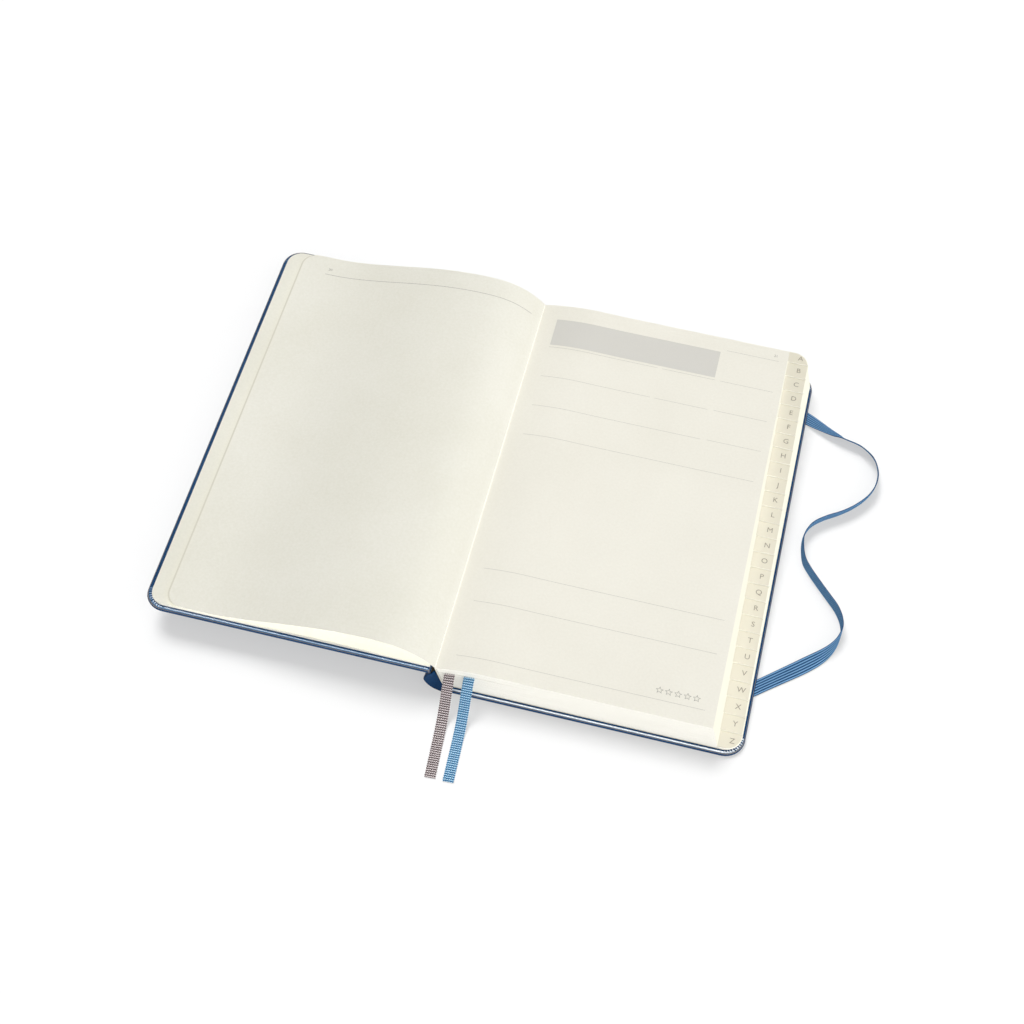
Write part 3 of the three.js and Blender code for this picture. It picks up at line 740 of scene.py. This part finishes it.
def band(name, middle, across, width, thickness, material, ribs=0, rib_depth=0.0):
    """A flat band along a line: its section is a rounded rectangle, ribbed on both faces if asked.

    The section is a circle whose cosine and sine are each raised to a power. A groove between two
    ribs is as deep as a power of a cosine across the band.
    """
    along = np.gradient(middle, axis=0)
    along /= np.linalg.norm(along, axis=1)[:, None]
    across = across - along * np.sum(across * along, axis=1)[:, None]
    across /= np.linalg.norm(across, axis=1)[:, None]
    up = np.cross(along, across)
    half = max(12, ribs * 8)
    turn = np.linspace(0, math.pi, half, endpoint=False)
    turn = np.concatenate([turn, turn + math.pi])
    side_power, height_power = RIBBED_SECTION if ribs else PLAIN_SECTION
    side = np.sign(np.cos(turn)) * np.abs(np.cos(turn)) ** side_power
    height = np.sign(np.sin(turn)) * np.abs(np.sin(turn)) ** height_power
    groove = np.abs(np.cos(math.pi * ribs * (side + 1) / 2)) ** GROOVE_POWER * rib_depth
    offset = height * thickness / 2 - np.sign(height) * groove
    points = (middle[:, None] + across[:, None] * (side * width / 2)[None, :, None]
              + up[:, None] * offset[None, :, None])
    rows, columns = points.shape[:2]
    piece = make_piece(name, points.reshape(-1, 3), tube(rows, columns), material, 60)
    gone = np.concatenate([[0], np.cumsum(np.linalg.norm(np.diff(middle, axis=0), axis=1))])
    point_uv(piece, np.tile((side + 1) / 2, rows), np.repeat(gone, columns))
    return piece, float(gone[-1])


def block_rise(block):
    """Height of the first leaf over the lowest one."""
    return block.sections * block.pitch + block.ribbon_slot - (block.pitch - block.thickness)


def block_surface(block, rise, x):
    """Height of a leaf that lies at a rise in the block.

    It is level, and drawn down to the gutter by a parabola. The leaves over the ribbons lie a little
    higher next to them and come down beyond them by a smooth step.
    """
    u = np.clip((x - block.gutter) / block.dip_reach, 0, 1)
    beyond = np.clip((x - block.sag_start) / block.sag_reach, 0, 1)
    over_ribbons = rise > (block.sections - block.over_ribbons) * block.pitch
    sag = block.sag * over_ribbons * beyond ** 2 * (3 - 2 * beyond)
    return block.floor + rise * (1 - block.dip / block_rise(block) * (1 - u) ** 2) - sag


def section_place(block, index):
    """Where an index section lies: its rise, its fold, its fore-edge, its cut and its tab's tail end."""
    part = index / (block.sections - 1)
    fore_edge = block.top_reach + part * (block.foot_reach - block.top_reach)
    slot = block.ribbon_slot if index < block.over_ribbons else 0
    return {
        "low": (block.sections - 1 - index) * block.pitch + slot,
        "fold": block.gutter + block.fold_gap + part * (block.foot_fold - block.gutter),
        "fore_edge": fore_edge,
        "cut": fore_edge - block.tab_width,
        "tab_tail": (block.sections - 1 - index) * block.tab_pitch - block.half,
    }


def body_of_section(index):
    """The first leaf, those above the ribbons and those below them turn as three bodies."""
    if index == 0:
        return "index_first"
    return "index_upper" if index < bpy.context.scene.journal_block.over_ribbons else "index_lower"


def leaf_edge(block, half, reach, extra=()):
    """Stations along a leaf from tail to head, and how far it reaches at each, round at its two corners.

    Extra stations are added in their places.
    """
    turn = np.linspace(0, math.pi / 2, block.corner_steps)
    arc = half - block.corner + block.corner * np.sin(turn)
    y = np.unique(np.concatenate([np.linspace(-half, half, block.rows), arc, -arc, extra]))
    over = np.clip(np.abs(y) - (half - block.corner), 0, block.corner)
    return y, reach - block.corner + np.sqrt(block.corner ** 2 - over ** 2)


def leaf_sheet(fold, y, reach, columns, surface, thickness):
    """A leaf as a closed sheet, and how far in from the fore-edge each of its points lies.

    Its upper face is a grid of X and Y with a surface's height at each point. The points lie closer
    together near the fold, by a power of the way out, and stand in order of X.
    """
    along = np.linspace(0, 1, columns) ** LEAF_POWER
    x = fold + (reach[:, None] - fold) * along
    if reach[0] < fold:
        x = x[:, ::-1]
    face = np.stack([x, np.broadcast_to(y[:, None], x.shape), surface(x)], axis=-1)
    inside = np.abs(reach[:, None] - x).ravel()
    return closed_sheet(face, np.array([0, 0, -thickness])), np.tile(inside, 2)


class Maker:
    """What the operators share."""

    bl_options = {"REGISTER", "UNDO"}


class JOURNAL_OT_stage(Maker, bpy.types.Operator):
    """Sets up the camera, the pale floor and the soft light"""

    bl_idname = "journal.stage"
    bl_label = "Stage"

    def execute(self, context):
        stage = context.scene.journal_stage
        camera = bpy.data.cameras.new("camera")
        camera.sensor_width = 36
        camera.lens = stage.lens
        camera.clip_start = 0.01
        camera.clip_end = 50
        eye = bpy.data.objects.new("camera", camera)
        context.scene.collection.objects.link(eye)
        tilt = Matrix.Rotation(math.pi / 2 - stage.elevation, 4, "X")
        turn = Matrix.Rotation(stage.heading, 4, "Z") @ tilt @ Matrix.Rotation(stage.roll, 4, "Z")
        eye.matrix_world = Matrix.Translation(stage.camera_place) @ turn
        context.scene.camera = eye

        side = stage.floor_side / 2
        corners = np.array([(-side, -side), (side, -side), (side, side), (-side, side)])
        points = np.concatenate([corners, np.full((4, 1), -stage.floor_drop)], axis=1)
        look = floor_look("pale_floor", stage.floor_tone, stage.floor_glow)
        floor = make_piece("floor", points, [[0, 1, 2, 3]], look)
        table = bpy.data.collections.new("table")
        table.objects.link(floor)

        for name in ("key", "fill", "table", "gloss"):
            light = bpy.data.lights.new(name, "SUN")
            light.energy = getattr(stage, name)
            light.angle = getattr(stage, name + "_width")
            sun = bpy.data.objects.new(name, light)
            tilt = math.pi / 2 - getattr(stage, name + "_height")
            heading = getattr(stage, name + "_heading")
            sun.matrix_world = Matrix.Rotation(heading, 4, "Z") @ Matrix.Rotation(-tilt, 4, "X")
            sun.visible_diffuse = name != "gloss"
            if name == "table":
                sun.light_linking.receiver_collection = table
            context.scene.collection.objects.link(sun)

        world = bpy.data.worlds.new("studio")
        world.use_nodes = True
        context.scene.world = world
        tree = world.node_tree
        path = tree.nodes.new("ShaderNodeLightPath")
        level = tree.nodes.new("ShaderNodeMapRange")
        level.inputs["To Min"].default_value = stage.sky
        level.inputs["To Max"].default_value = 1.0
        tree.links.new(path.outputs["Is Camera Ray"], level.inputs["Value"])
        background = tree.nodes["Background"]
        background.inputs["Color"].default_value = (1, 1, 1, 1)
        tree.links.new(level.outputs["Result"], background.inputs["Strength"])
        context.scene.view_settings.view_transform = "Standard"
        return {"FINISHED"}


class JOURNAL_OT_strap(Maker, bpy.types.Operator):
    """Lays the elastic strap: flat where it leaves the back cover, on its edge round the bends"""

    bl_idname = "journal.strap"
    bl_label = "Elastic strap"

    def execute(self, context):
        strap = context.scene.journal_strap
        cover = context.scene.journal_cover
        leg = strap.slit + strap.room / 2 + strap.slit_gap
        straight = strap.slit + strap.turn_out - strap.turn_gap
        knots = [(x / MM, strap.head / MM, 180) for x in (leg, straight)]
        for out, part, lean in STRAP_ROUTE:
            y = strap.head + part * (strap.tail - strap.head)
            knots.append((cover.reach / MM + out, y / MM, lean))
        knots += [(x / MM, strap.tail / MM, 180) for x in (straight, leg)]
        line = smooth_line(knots, strap.steps)
        lean = np.radians(np.clip(line[:, 2], None, 180))
        heading = np.gradient(line[:, :2], axis=0)
        heading /= np.linalg.norm(heading, axis=1)[:, None]
        rise = strap.floor + (strap.thickness * np.abs(np.cos(lean)) + strap.width * np.sin(lean)) / 2
        middle = np.column_stack([line[:, 0] * MM, line[:, 1] * MM, rise])
        beside = np.column_stack([-heading[:, 1], heading[:, 0]]) * np.cos(lean)[:, None]
        across = np.column_stack([beside, np.sin(lean)])
        look = elastic_look("woven_elastic", strap.tone, strap.groove, float(strap.ribs))
        piece, long = band(
            "strap", middle, across, strap.width, strap.thickness, look, strap.ribs, strap.rib_depth)
        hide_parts("elastic_strap")
        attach(piece, "back_cover")
        for node in ("strap_anchor_head", "strap_anchor_tail"):
            dress(node, look)
        return {"FINISHED"}


class JOURNAL_OT_ribbons(Maker, bpy.types.Operator):
    """Makes the two marker ribbons: flat between the leaves, then over the tail and down to the table"""

    bl_idname = "journal.ribbons"
    bl_label = "Marker ribbons"

    def execute(self, context):
        ribbon = context.scene.journal_ribbon
        block = context.scene.journal_block
        rise = section_place(block, block.over_ribbons)["low"] + block.thickness
        for tint in ("grey", "blue"):
            tones = [getattr(ribbon, tint + shade) for shade in ("_tone", "_light", "_dark")]
            look = ribbon_look(tint + "_knit", *tones, ribbon.stitches, ribbon.row)
            x = getattr(ribbon, tint + "_x")
            bed = block_surface(block, rise, x + np.array([-0.5, 0, 0.5]) * ribbon.width) + ribbon.bed_gap
            slope = (bed[2] - bed[0]) / ribbon.width
            exit_z = bed[1] + ribbon.thickness / 2
            y = np.linspace(block.half - ribbon.head_margin, -block.half, ribbon.held_steps)
            middle = np.column_stack([np.full_like(y, x), y, np.full_like(y, exit_z)])
            lean = np.tile([1, 0, slope], (ribbon.held_steps, 1))
            held, _ = band(tint + "_marker_held", middle, lean, ribbon.width, ribbon.thickness, look)
            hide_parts(tint + "_ribbon_held")
            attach(held, "index_lower")

            knots = [(out * MM, height * exit_z) for out, height in RIBBON_FALL]
            out, height = smooth_line(knots, ribbon.steps, power=0, beyond=0).T
            stray = getattr(ribbon, tint + "_shift") * out / knots[-1][0]
            middle = np.column_stack([x + stray, -block.half - out, height])
            level = np.clip(1 - out / ribbon.level_reach, 0, None)
            across = np.column_stack([np.ones_like(out), np.zeros_like(out), slope * level])
            free, long = band(tint + "_marker", middle, across, ribbon.width, ribbon.thickness, look)
            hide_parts(tint + "_ribbon")
            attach(free, "index_lower")
        return {"FINISHED"}


def dress(node, material):
    """Gives a CAD node its material."""
    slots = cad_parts[node].data.materials
    slots.clear()
    slots.append(material)


def cover_ring(cover, inset):
    """A right-hand cover's outline moved inwards, and how far round a fore-edge corner each point lies."""
    points = []
    turns = []
    for at_fore_edge, side_y, start in ((1, -1, -90), (1, 1, 0), (0, 1, 90), (0, -1, 180)):
        radius = max((cover.corner if at_fore_edge else cover.hinge_corner) - inset, LEAST_CORNER)
        steps = cover.corner_steps if at_fore_edge else HINGE_CORNER_STEPS
        turn = np.radians(start + np.linspace(0, 90, steps))
        centre_x = cover.reach - inset - radius if at_fore_edge else cover.hinge_edge + inset + radius
        centre_y = side_y * (cover.half - inset - radius)
        arc = np.column_stack([centre_x + radius * np.cos(turn), centre_y + radius * np.sin(turn)])
        before = arc[:1] + MM * np.array([math.sin(turn[0]), -math.cos(turn[0])])
        after = arc[-1:] - MM * np.array([math.sin(turn[-1]), -math.cos(turn[-1])])
        points += [before, arc, after]
        turns += [[0], np.linspace(0, 1, steps) if at_fore_edge else np.zeros(steps), [1]]
    return np.concatenate(points), np.concatenate(turns)


def cover_mesh(cover, side, outer):
    """A cover's wrap as rings: out over the outer face, round the soft edge, in over the turned-in leather.

    The edge is half an ellipse. Round the fore-edge corners its inner half is gathered into pleats,
    a rectified sine of the turn angle.
    """
    turn = np.linspace(-math.pi / 2, math.pi / 2, cover.edge_steps)
    insets = [cover.turn_in, OUTER_RING * MM]
    heights = [0.0, 0.0]
    gathers = [0.0, 0.0]
    insets += list(cover.softness * (1 - np.cos(turn)))
    heights += list(cover.thickness / 2 * (1 + np.sin(turn)))
    gathers += list(np.clip(turn / math.pi + PLEAT_LEAD, 0, 1) ** PLEAT_GROWTH)
    for inset, gather in PLEAT_FADE:
        insets.append(inset * MM)
        heights.append(cover.thickness)
        gathers.append(gather)
    insets += [cover.turn_in, cover.turn_in + cover.leather / 2]
    heights += [cover.thickness, cover.thickness - cover.leather]
    gathers += [0.0, 0.0]
    centre = np.array([cover.reach / 2, 0])
    rings = []
    for inset, height, gather in zip(insets, heights, gathers):
        ring, along = cover_ring(cover, inset)
        fold = np.abs(np.sin(math.pi * cover.pleats * along)) ** PLEAT_NARROWNESS
        inside = np.where((along > 0) & (along < 1), (1 - fold) * gather * cover.pleat_depth, 0)
        toward = (centre - ring) / np.linalg.norm(centre - ring, axis=1)[:, None]
        ring = ring + toward * inside[:, None]
        drop = inside * (height > cover.thickness / 2)
        rings.append(np.column_stack([side * ring[:, 0], ring[:, 1], outer + height - drop]))
    return np.concatenate(rings), tube(len(rings), len(rings[0]))


def cut_channels(piece, strap):
    """Cuts the strap's channels into the back cover: from each slit outwards, then on as the strap turns.

    Each channel is two boxes taken away from the cover.
    """
    box = np.array([[i, j, k] for k in (0, 1) for j in (0, 1) for i in (0, 1)], dtype=float)
    quads = np.array([[0, 2, 3, 1], [4, 5, 7, 6], [0, 1, 5, 4], [2, 6, 7, 3], [0, 4, 6, 2], [1, 3, 7, 5]])
    narrow = strap.channel_width / 2
    wide = narrow + strap.channel_spread / 2
    cutters = []
    for y, turn in ((strap.head, strap.head_turn), (strap.tail, strap.tail_turn)):
        place = Matrix.Translation((strap.slit + strap.turn_out, y, 0))
        for start, end, half, angle in (
                (-strap.turn_out, 0, narrow, 0), (-narrow, strap.channel_reach, wide, turn)):
            size = [end - start, 2 * half, strap.channel_depth + MM]
            points = box * size + [start, -half, -MM]
            cutter = make_piece("channel_cutter", points, quads, piece.data.materials[0])
            cutter.data.transform(place @ Matrix.Rotation(angle, 4, "Z"))
            cut = piece.modifiers.new("channel", "BOOLEAN")
            cut.operation = "DIFFERENCE"
            cut.object = cutter
            cut.solver = "EXACT"
            cutters.append(cutter)
    ready = piece.evaluated_get(bpy.context.evaluated_depsgraph_get())
    mesh = bpy.data.meshes.new_from_object(ready)
    piece.modifiers.clear()
    piece.data = mesh
    for cutter in cutters:
        bpy.data.objects.remove(cutter)


class JOURNAL_OT_covers(Maker, bpy.types.Operator):
    """Makes the two covers' leather wraps and dresses their boards, endpapers and pocket"""

    bl_idname = "journal.covers"
    bl_label = "Covers"

    def execute(self, context):
        cover = context.scene.journal_cover
        leather = (cover.tone, cover.worn, cover.crease, cover.coat)
        # Each cover gets its own colour for the painted highlight on its tail edge.
        leathers = {
            "back_cover": leather_look("leatherette_back", *leather, cover.back_painted_highlight),
            "front_cover": leather_look("leatherette_front", *leather, cover.front_painted_highlight),
        }
        card = board_look("greyboard", linear("9a9184"), linear("6f675b"))
        paste = paper_look("pastedown_paper", linear("eeebdf"), linear("f7f4e8"))
        cloth = cloth_look("pocket_cloth", linear("c4bfb1"), linear("8f8a7d"))
        for name, side, outer in (("back_cover", 1, 0.0), ("front_cover", -1, cover.lift)):
            piece = make_piece(name + "_leather", *cover_mesh(cover, side, outer), leathers[name], 50)
            if side > 0:
                cut_channels(piece, context.scene.journal_strap)
            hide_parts(name + "_wrap")
            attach(piece, name)
            dress(name + "_board", card)
        for node in ("back_endpaper", "front_endpaper"):
            dress(node, paste)
        for node in ("back_pocket_panel", "back_pocket_gusset"):
            dress(node, cloth)
        dress("spine_lining", cloth_look("lining_cloth", linear("faf8ef"), linear("ece9dd")))
        dress("spine_strip", card)
        return {"FINISHED"}


class JOURNAL_OT_spine(Maker, bpy.types.Operator):
    """Makes the soft spine between the two covers, its leather turned in and closed at both ends"""

    bl_idname = "journal.spine"
    bl_label = "Spine"

    def execute(self, context):
        cover = context.scene.journal_cover
        line = smooth_line(SPINE_LINE, SPINE_STEPS) * MM
        along = np.gradient(line, axis=0)
        along /= np.linalg.norm(along, axis=1)[:, None]
        outward = np.column_stack([-along[:, 1], along[:, 0]])
        inset = np.array(SPINE_ENDS) * MM
        y = np.concatenate([inset - cover.half, np.array(SPINE_BETWEEN) * MM, cover.half - inset[::-1]])
        near = cover.half - np.abs(y)
        bead = cover.spine_bead * np.exp(-(near / cover.spine_bead_width) ** 2)
        bead *= np.sqrt(np.clip(near / MM, 0, 1))
        inner = cover.spine_thickness / 2 * (1 - cover.spine_thinning * np.exp(-near / (cover.leather / 2)))
        outer = inner + bead
        face = line[None] + outward[None] * outer[:, None, None]
        face[..., 1] = np.maximum(face[..., 1], 0)
        back = line[None] - outward[None] * inner[:, None, None]
        face = np.insert(face, 1, np.broadcast_to(y[:, None], face.shape[:2]), axis=2)
        back = np.insert(back, 1, np.broadcast_to(y[:, None], back.shape[:2]), axis=2)
        parts = [closed_sheet(face, back - face)]

        part = np.linspace(0, 1, len(line))[:, None]
        block_back = (np.array(BLOCK_BACK[0]) * (1 - part) + np.array(BLOCK_BACK[1]) * part) * MM
        inward = np.linspace(0, 1, CAP_ROWS)[:, None, None]
        rim = line[None] * (1 - inward) + block_back[None] * inward
        depth = cover.half - cover.spine_cap_inset - cover.spine_cap_depth * inward[..., 0] ** CAP_POWER
        for end in (-1, 1):
            cap = np.insert(rim, 1, np.broadcast_to(end * depth, rim.shape[:2]), axis=2)
            parts.append(closed_sheet(cap, np.array([0, -end * cover.leather, 0])))
        # The spine's leather uses the darker, shaded copy of the covers' colours.
        look = leather_look(
            "spine_leatherette", cover.spine_shaded_tone, cover.spine_shaded_worn, cover.spine_shaded_crease, cover.spine_coat)
        piece = make_piece("spine_leather", *joined(parts), look, 60)
        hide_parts("spine_wrap")
        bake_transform(piece)
        return {"FINISHED"}


class JOURNAL_OT_index(Maker, bpy.types.Operator):
    """Makes the step-cut index leaf by leaf, and the end leaves behind it"""

    bl_idname = "journal.index"
    bl_label = "Index leaves"

    def execute(self, context):
        block = context.scene.journal_block
        # The index paper carries a painted highlight on the tabs' rim, painted light on its cut edges and a
        # painted glow.
        look = paper_look(
            "index_paper", block.paper, block.cut_edge_painted_light, tab=block.tab_tone, rim=block.rim, glow=block.glow,
            light=block.glow_tone)
        leaf = block.thickness / block.leaves
        stray = np.random.default_rng(7)
        for index in range(block.sections):
            letter = chr(ord("a") + index)
            place = section_place(block, index)
            fold = place["fold"] if index else block.gutter + block.gutter_gap
            parts = []
            from_edge = []
            for number in range(block.leaves):
                half = block.half + stray.uniform(-1, 0.2) * block.unevenness
                reach = place["fore_edge"] + stray.uniform(-1, 1) * block.unevenness
                cut = place["cut"] + stray.uniform(-1, 1) * block.unevenness
                step = place["tab_tail"]
                if index < block.sections - 1:
                    y, edge = leaf_edge(block, half, reach, [step - STEP_CORNER, step + STEP_CORNER])
                    edge = np.where(y < step, cut, edge)
                else:
                    y, edge = leaf_edge(block, half, reach)
                top = place["low"] + leaf * (number + 1)
                sheet, inside = leaf_sheet(
                    fold, y, edge, block.columns, lambda x: block_surface(block, top, x),
                    leaf * block.leaf_share)
                parts.append(sheet)
                from_edge.append(inside)
            points, faces = joined(parts)
            piece = make_piece("index_leaves_" + letter, points, faces, look)
            point_values(piece, "tab_start", np.full(len(points), place["cut"] - block.tab_lap))
            point_values(piece, "from_edge", np.concatenate(from_edge))
            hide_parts("index_section_" + letter)
            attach(piece, body_of_section(index))

        parts = []
        leaf = block.end_thickness / block.end_leaves
        fold = block.foot_fold + block.fold_gap
        y, edge = leaf_edge(block, block.half, block.foot_reach)
        for number in range(block.end_leaves):
            top = block.end_floor + leaf * (number + 1)
            sheet, _ = leaf_sheet(
                fold, y, edge, block.columns, lambda x: np.full_like(x, top), leaf * block.leaf_share)
            parts.append(sheet)
        look = paper_look("end_paper", linear("eeebdf"), linear("f7f4e8"))
        piece = make_piece("end_sheets", *joined(parts), look)
        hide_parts("end_leaves")
        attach(piece, "back_cover")
        return {"FINISHED"}


def arch_surface(left, block, x):
    """Height of the top arched leaf: up from the gutter by a power, down again by half a cosine wave."""
    foot = left.floor + left.thickness + left.foot_rise
    crest = left.floor - left.cover_gap + left.crest_lift
    gutter = block_surface(block, block_rise(block), block.gutter) + left.gutter_lift
    start = block.gutter - block.fold_gap
    near = np.clip((start - x) / (start + left.crest), 0, 1)
    rise = gutter + (crest - gutter) * (1 - (1 - near) ** left.gutter_power)
    far = np.clip((-left.crest - x) / (left.foot - left.crest), 0, 1)
    fall = foot + (crest - foot) * ((1 + np.cos(math.pi * far)) / 2) ** left.fall_power
    return np.where(x > -left.crest, rise, fall)


def resting_surface(left, x, part=1.0):
    """Height of a leaf on the front cover, at a part of the way up: a low wave that grows upwards."""
    along = np.clip((-x - left.hump_start) / (left.hump_end - left.hump_start), 0, 1)
    return left.floor + part * (left.thickness + left.hump * np.sin(math.pi * along) ** 2)


class JOURNAL_OT_left_leaves(Maker, bpy.types.Operator):
    """Makes the leaves on the front cover and those that arch up from the gutter"""

    bl_idname = "journal.left_leaves"
    bl_label = "Left leaves"

    def execute(self, context):
        left = context.scene.journal_left
        block = context.scene.journal_block
        # The left leaves' paper is a darker, shaded copy of the right page's paper.
        look = paper_look("page_paper", left.paper, block.cut_edge_painted_light)
        parts = []
        stray = np.random.default_rng(11)
        leaf = left.thickness / left.leaves
        for number in range(left.leaves):
            half = block.half + stray.uniform(-1, 0) * block.unevenness
            y, edge = leaf_edge(block, half, left.reach - stray.uniform(0, 1) * block.unevenness)
            part = (number + 1) / left.leaves
            sheet, _ = leaf_sheet(
                -left.fold, y, -edge, left.columns, lambda x: resting_surface(left, x, part),
                leaf * block.leaf_share)
            parts.append(sheet)
        piece = make_piece("resting_leaves", *joined(parts), look)
        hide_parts("front_leaves")
        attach(piece, "front_cover")

        parts = []
        from_edge = []
        for number in range(left.arched):
            lower = number * left.thickness_arched / left.arched
            y, edge = leaf_edge(block, block.half - left.trim, left.arch_reach + number * left.arch_step)
            fold = block.gutter - left.arch_fold
            sheet, inside = leaf_sheet(
                fold, y, -edge, left.columns, lambda x: arch_surface(left, block, x) - lower, left.leaf)
            parts.append(sheet)
            from_edge.append(inside)
        # The arched leaves' paper: a shaded copy of the page paper, with painted light on its edges, a rim
        # of painted shade and a painted glow.
        look = paper_look("arched_paper", left.paper, left.cut_edge_painted_light, rim=left.rim, glow=left.glow)
        piece = make_piece("arching_leaves", *joined(parts), look)
        point_values(piece, "from_edge", np.concatenate(from_edge))
        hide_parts("arched_leaves")
        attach(piece, "arched_leaves")
        return {"FINISHED"}


def letters_mesh(text, size, x, y, surface):
    """A word's flat outline, filled, centred at a place and laid on a surface."""
    curve = bpy.data.curves.new("type", "FONT")
    curve.body = text
    curve.size = size
    curve.align_x = "CENTER"
    curve.align_y = "CENTER"
    curve.resolution_u = 3
    holder = bpy.data.objects.new("type", curve)
    bpy.context.scene.collection.objects.link(holder)
    ready = holder.evaluated_get(bpy.context.evaluated_depsgraph_get())
    mesh = bpy.data.meshes.new_from_object(ready)
    points = np.empty(len(mesh.vertices) * 3)
    mesh.vertices.foreach_get("co", points)
    points = points.reshape(-1, 3)
    points[:, 0] += x
    points[:, 1] += y
    points[:, 2] = surface(points[:, 0])
    faces = [list(face.vertices) for face in mesh.polygons]
    bpy.data.objects.remove(holder)
    bpy.data.meshes.remove(mesh)
    return points, faces


def patch(x0, x1, y0, y1, surface, columns):
    """A printed area with straight sides, laid on a page that curves along X."""
    x, y = np.meshgrid(np.linspace(x0, x1, columns), [y0, y1])
    return np.stack([x, y, surface(x)], axis=-1).reshape(-1, 3), grid(2, columns).tolist()


def star(x, y, radius, waist, line, surface):
    """A five-pointed star drawn as an outline: one ring of ten corners inside another."""
    turn = math.pi / 2 + np.arange(10) * math.pi / 5
    size = np.where(np.arange(10) % 2 == 0, 1.0, waist) * radius
    outer = np.column_stack([x + size * np.cos(turn), y + size * np.sin(turn)])
    inner = np.column_stack([x, y]) + (outer - [x, y]) * (1 - line)
    flat = np.concatenate([outer, inner])
    points = np.column_stack([flat, surface(flat[:, 0])])
    faces = [[i, (i + 1) % 10, 10 + (i + 1) % 10, 10 + i] for i in range(10)]
    return points, faces


class JOURNAL_OT_print(Maker, bpy.types.Operator):
    """Prints the tab letters, the rules, the box, the stars and the page numbers"""

    bl_idname = "journal.print"
    bl_label = "Print"

    def execute(self, context):
        ink = context.scene.journal_print
        block = context.scene.journal_block
        left = context.scene.journal_left
        by_body = {}
        for index in range(block.sections):
            place = section_place(block, index)
            top = place["low"] + block.thickness
            tab_head = min(place["tab_tail"] + block.tab_pitch, block.half)
            middle = (place["tab_tail"] + tab_head) / 2
            letter = letters_mesh(
                chr(ord("A") + index), block.letter, place["fore_edge"] - block.tab_width * ink.letter_place,
                middle, lambda x: block_surface(block, top, x) + ink.lift)
            by_body.setdefault(body_of_section(index), []).append(letter)
        look = ink_look("letter_ink", ink.letters, linear("d6cfbd"))
        for body, parts in by_body.items():
            piece = make_piece("tab_letters_" + body, *joined(parts), look)
            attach(piece, body)

        def page(x):
            return block_surface(block, block_rise(block), x) + ink.lift

        def arch(x):
            return arch_surface(left, block, x) + ink.lift

        def rule(x0, x1, y, surface, columns):
            return patch(x0 * MM, x1 * MM, y * MM - ink.rule / 2, y * MM + ink.rule / 2, surface, columns)

        def number(figures, place, surface):
            return letters_mesh(figures, ink.figure, place[0] * MM, place[1] * MM, surface)

        rules = [rule(*place, page, RIGHT_COLUMNS) for place in RULES]
        box = patch(*(value * MM for value in TITLE_BOX), page, RIGHT_COLUMNS)
        marks = [star(x * MM, STARS_Y * MM, ink.star, ink.star_waist, ink.star_line, page) for x in STARS_X]
        marks.append(number("21", RIGHT_FIGURE, page))
        left_marks = [rule(*LEFT_RULE, arch, LEFT_COLUMNS), number("20", LEFT_FIGURE, arch)]
        right = ("index_paper", "index_first")
        for name, parts, look, tone, paper, (slot, body) in (
                ("right_rules", rules, "rule_ink", ink.rules, block.paper, right),
                ("title_box", [box], "box_ink", ink.box, linear("dcdad2"), right),
                ("stars_and_number", marks, "mark_ink", ink.marks, block.paper, right),
                ("left_marks", left_marks, "left_ink", ink.left_marks, block.paper,
                 ("page_paper", "arched_leaves"))):
            piece = make_piece(name, *joined(parts), ink_look(look, tone, paper))
            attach(piece, body)
        return {"FINISHED"}


class JOURNAL_OT_soften(Maker, bpy.types.Operator):
    """Gives the arched leaves and the left page's marks meshes of their own"""

    bl_idname = "journal.soften"
    bl_label = "Bending leaves"

    def execute(self, context):
        for name in ("arching_leaves", "left_marks"):
            piece = bpy.data.objects[name]
            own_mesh(piece)
        return {"FINISHED"}


OPERATORS = [
    JOURNAL_OT_stage, JOURNAL_OT_strap, JOURNAL_OT_ribbons, JOURNAL_OT_covers, JOURNAL_OT_spine,
    JOURNAL_OT_index, JOURNAL_OT_left_leaves, JOURNAL_OT_print, JOURNAL_OT_soften]


class JOURNAL_PT_panel(bpy.types.Panel):
    """The journal's steps in order"""

    bl_idname = "JOURNAL_PT_panel"
    bl_label = "Reading journal"
    bl_space_type = "VIEW_3D"
    bl_region_type = "UI"
    bl_category = "Journal"

    def draw(self, context):
        for operator in OPERATORS:
            self.layout.operator(operator.bl_idname)


def register():
    for group in SETTINGS.values():
        bpy.utils.register_class(group)
    for name, group in SETTINGS.items():
        setattr(bpy.types.Scene, name, PointerProperty(type=group))
    for made in (*OPERATORS, JOURNAL_PT_panel):
        bpy.utils.register_class(made)


def unregister():
    for made in reversed((*OPERATORS, JOURNAL_PT_panel)):
        bpy.utils.unregister_class(made)
    for name, group in reversed(SETTINGS.items()):
        delattr(bpy.types.Scene, name)
        bpy.utils.unregister_class(group)


def main():
    register()
    for operator in OPERATORS:
        getattr(bpy.ops.journal, operator.bl_idname.split(".")[1])()


if __name__ == "__main__":
    main()
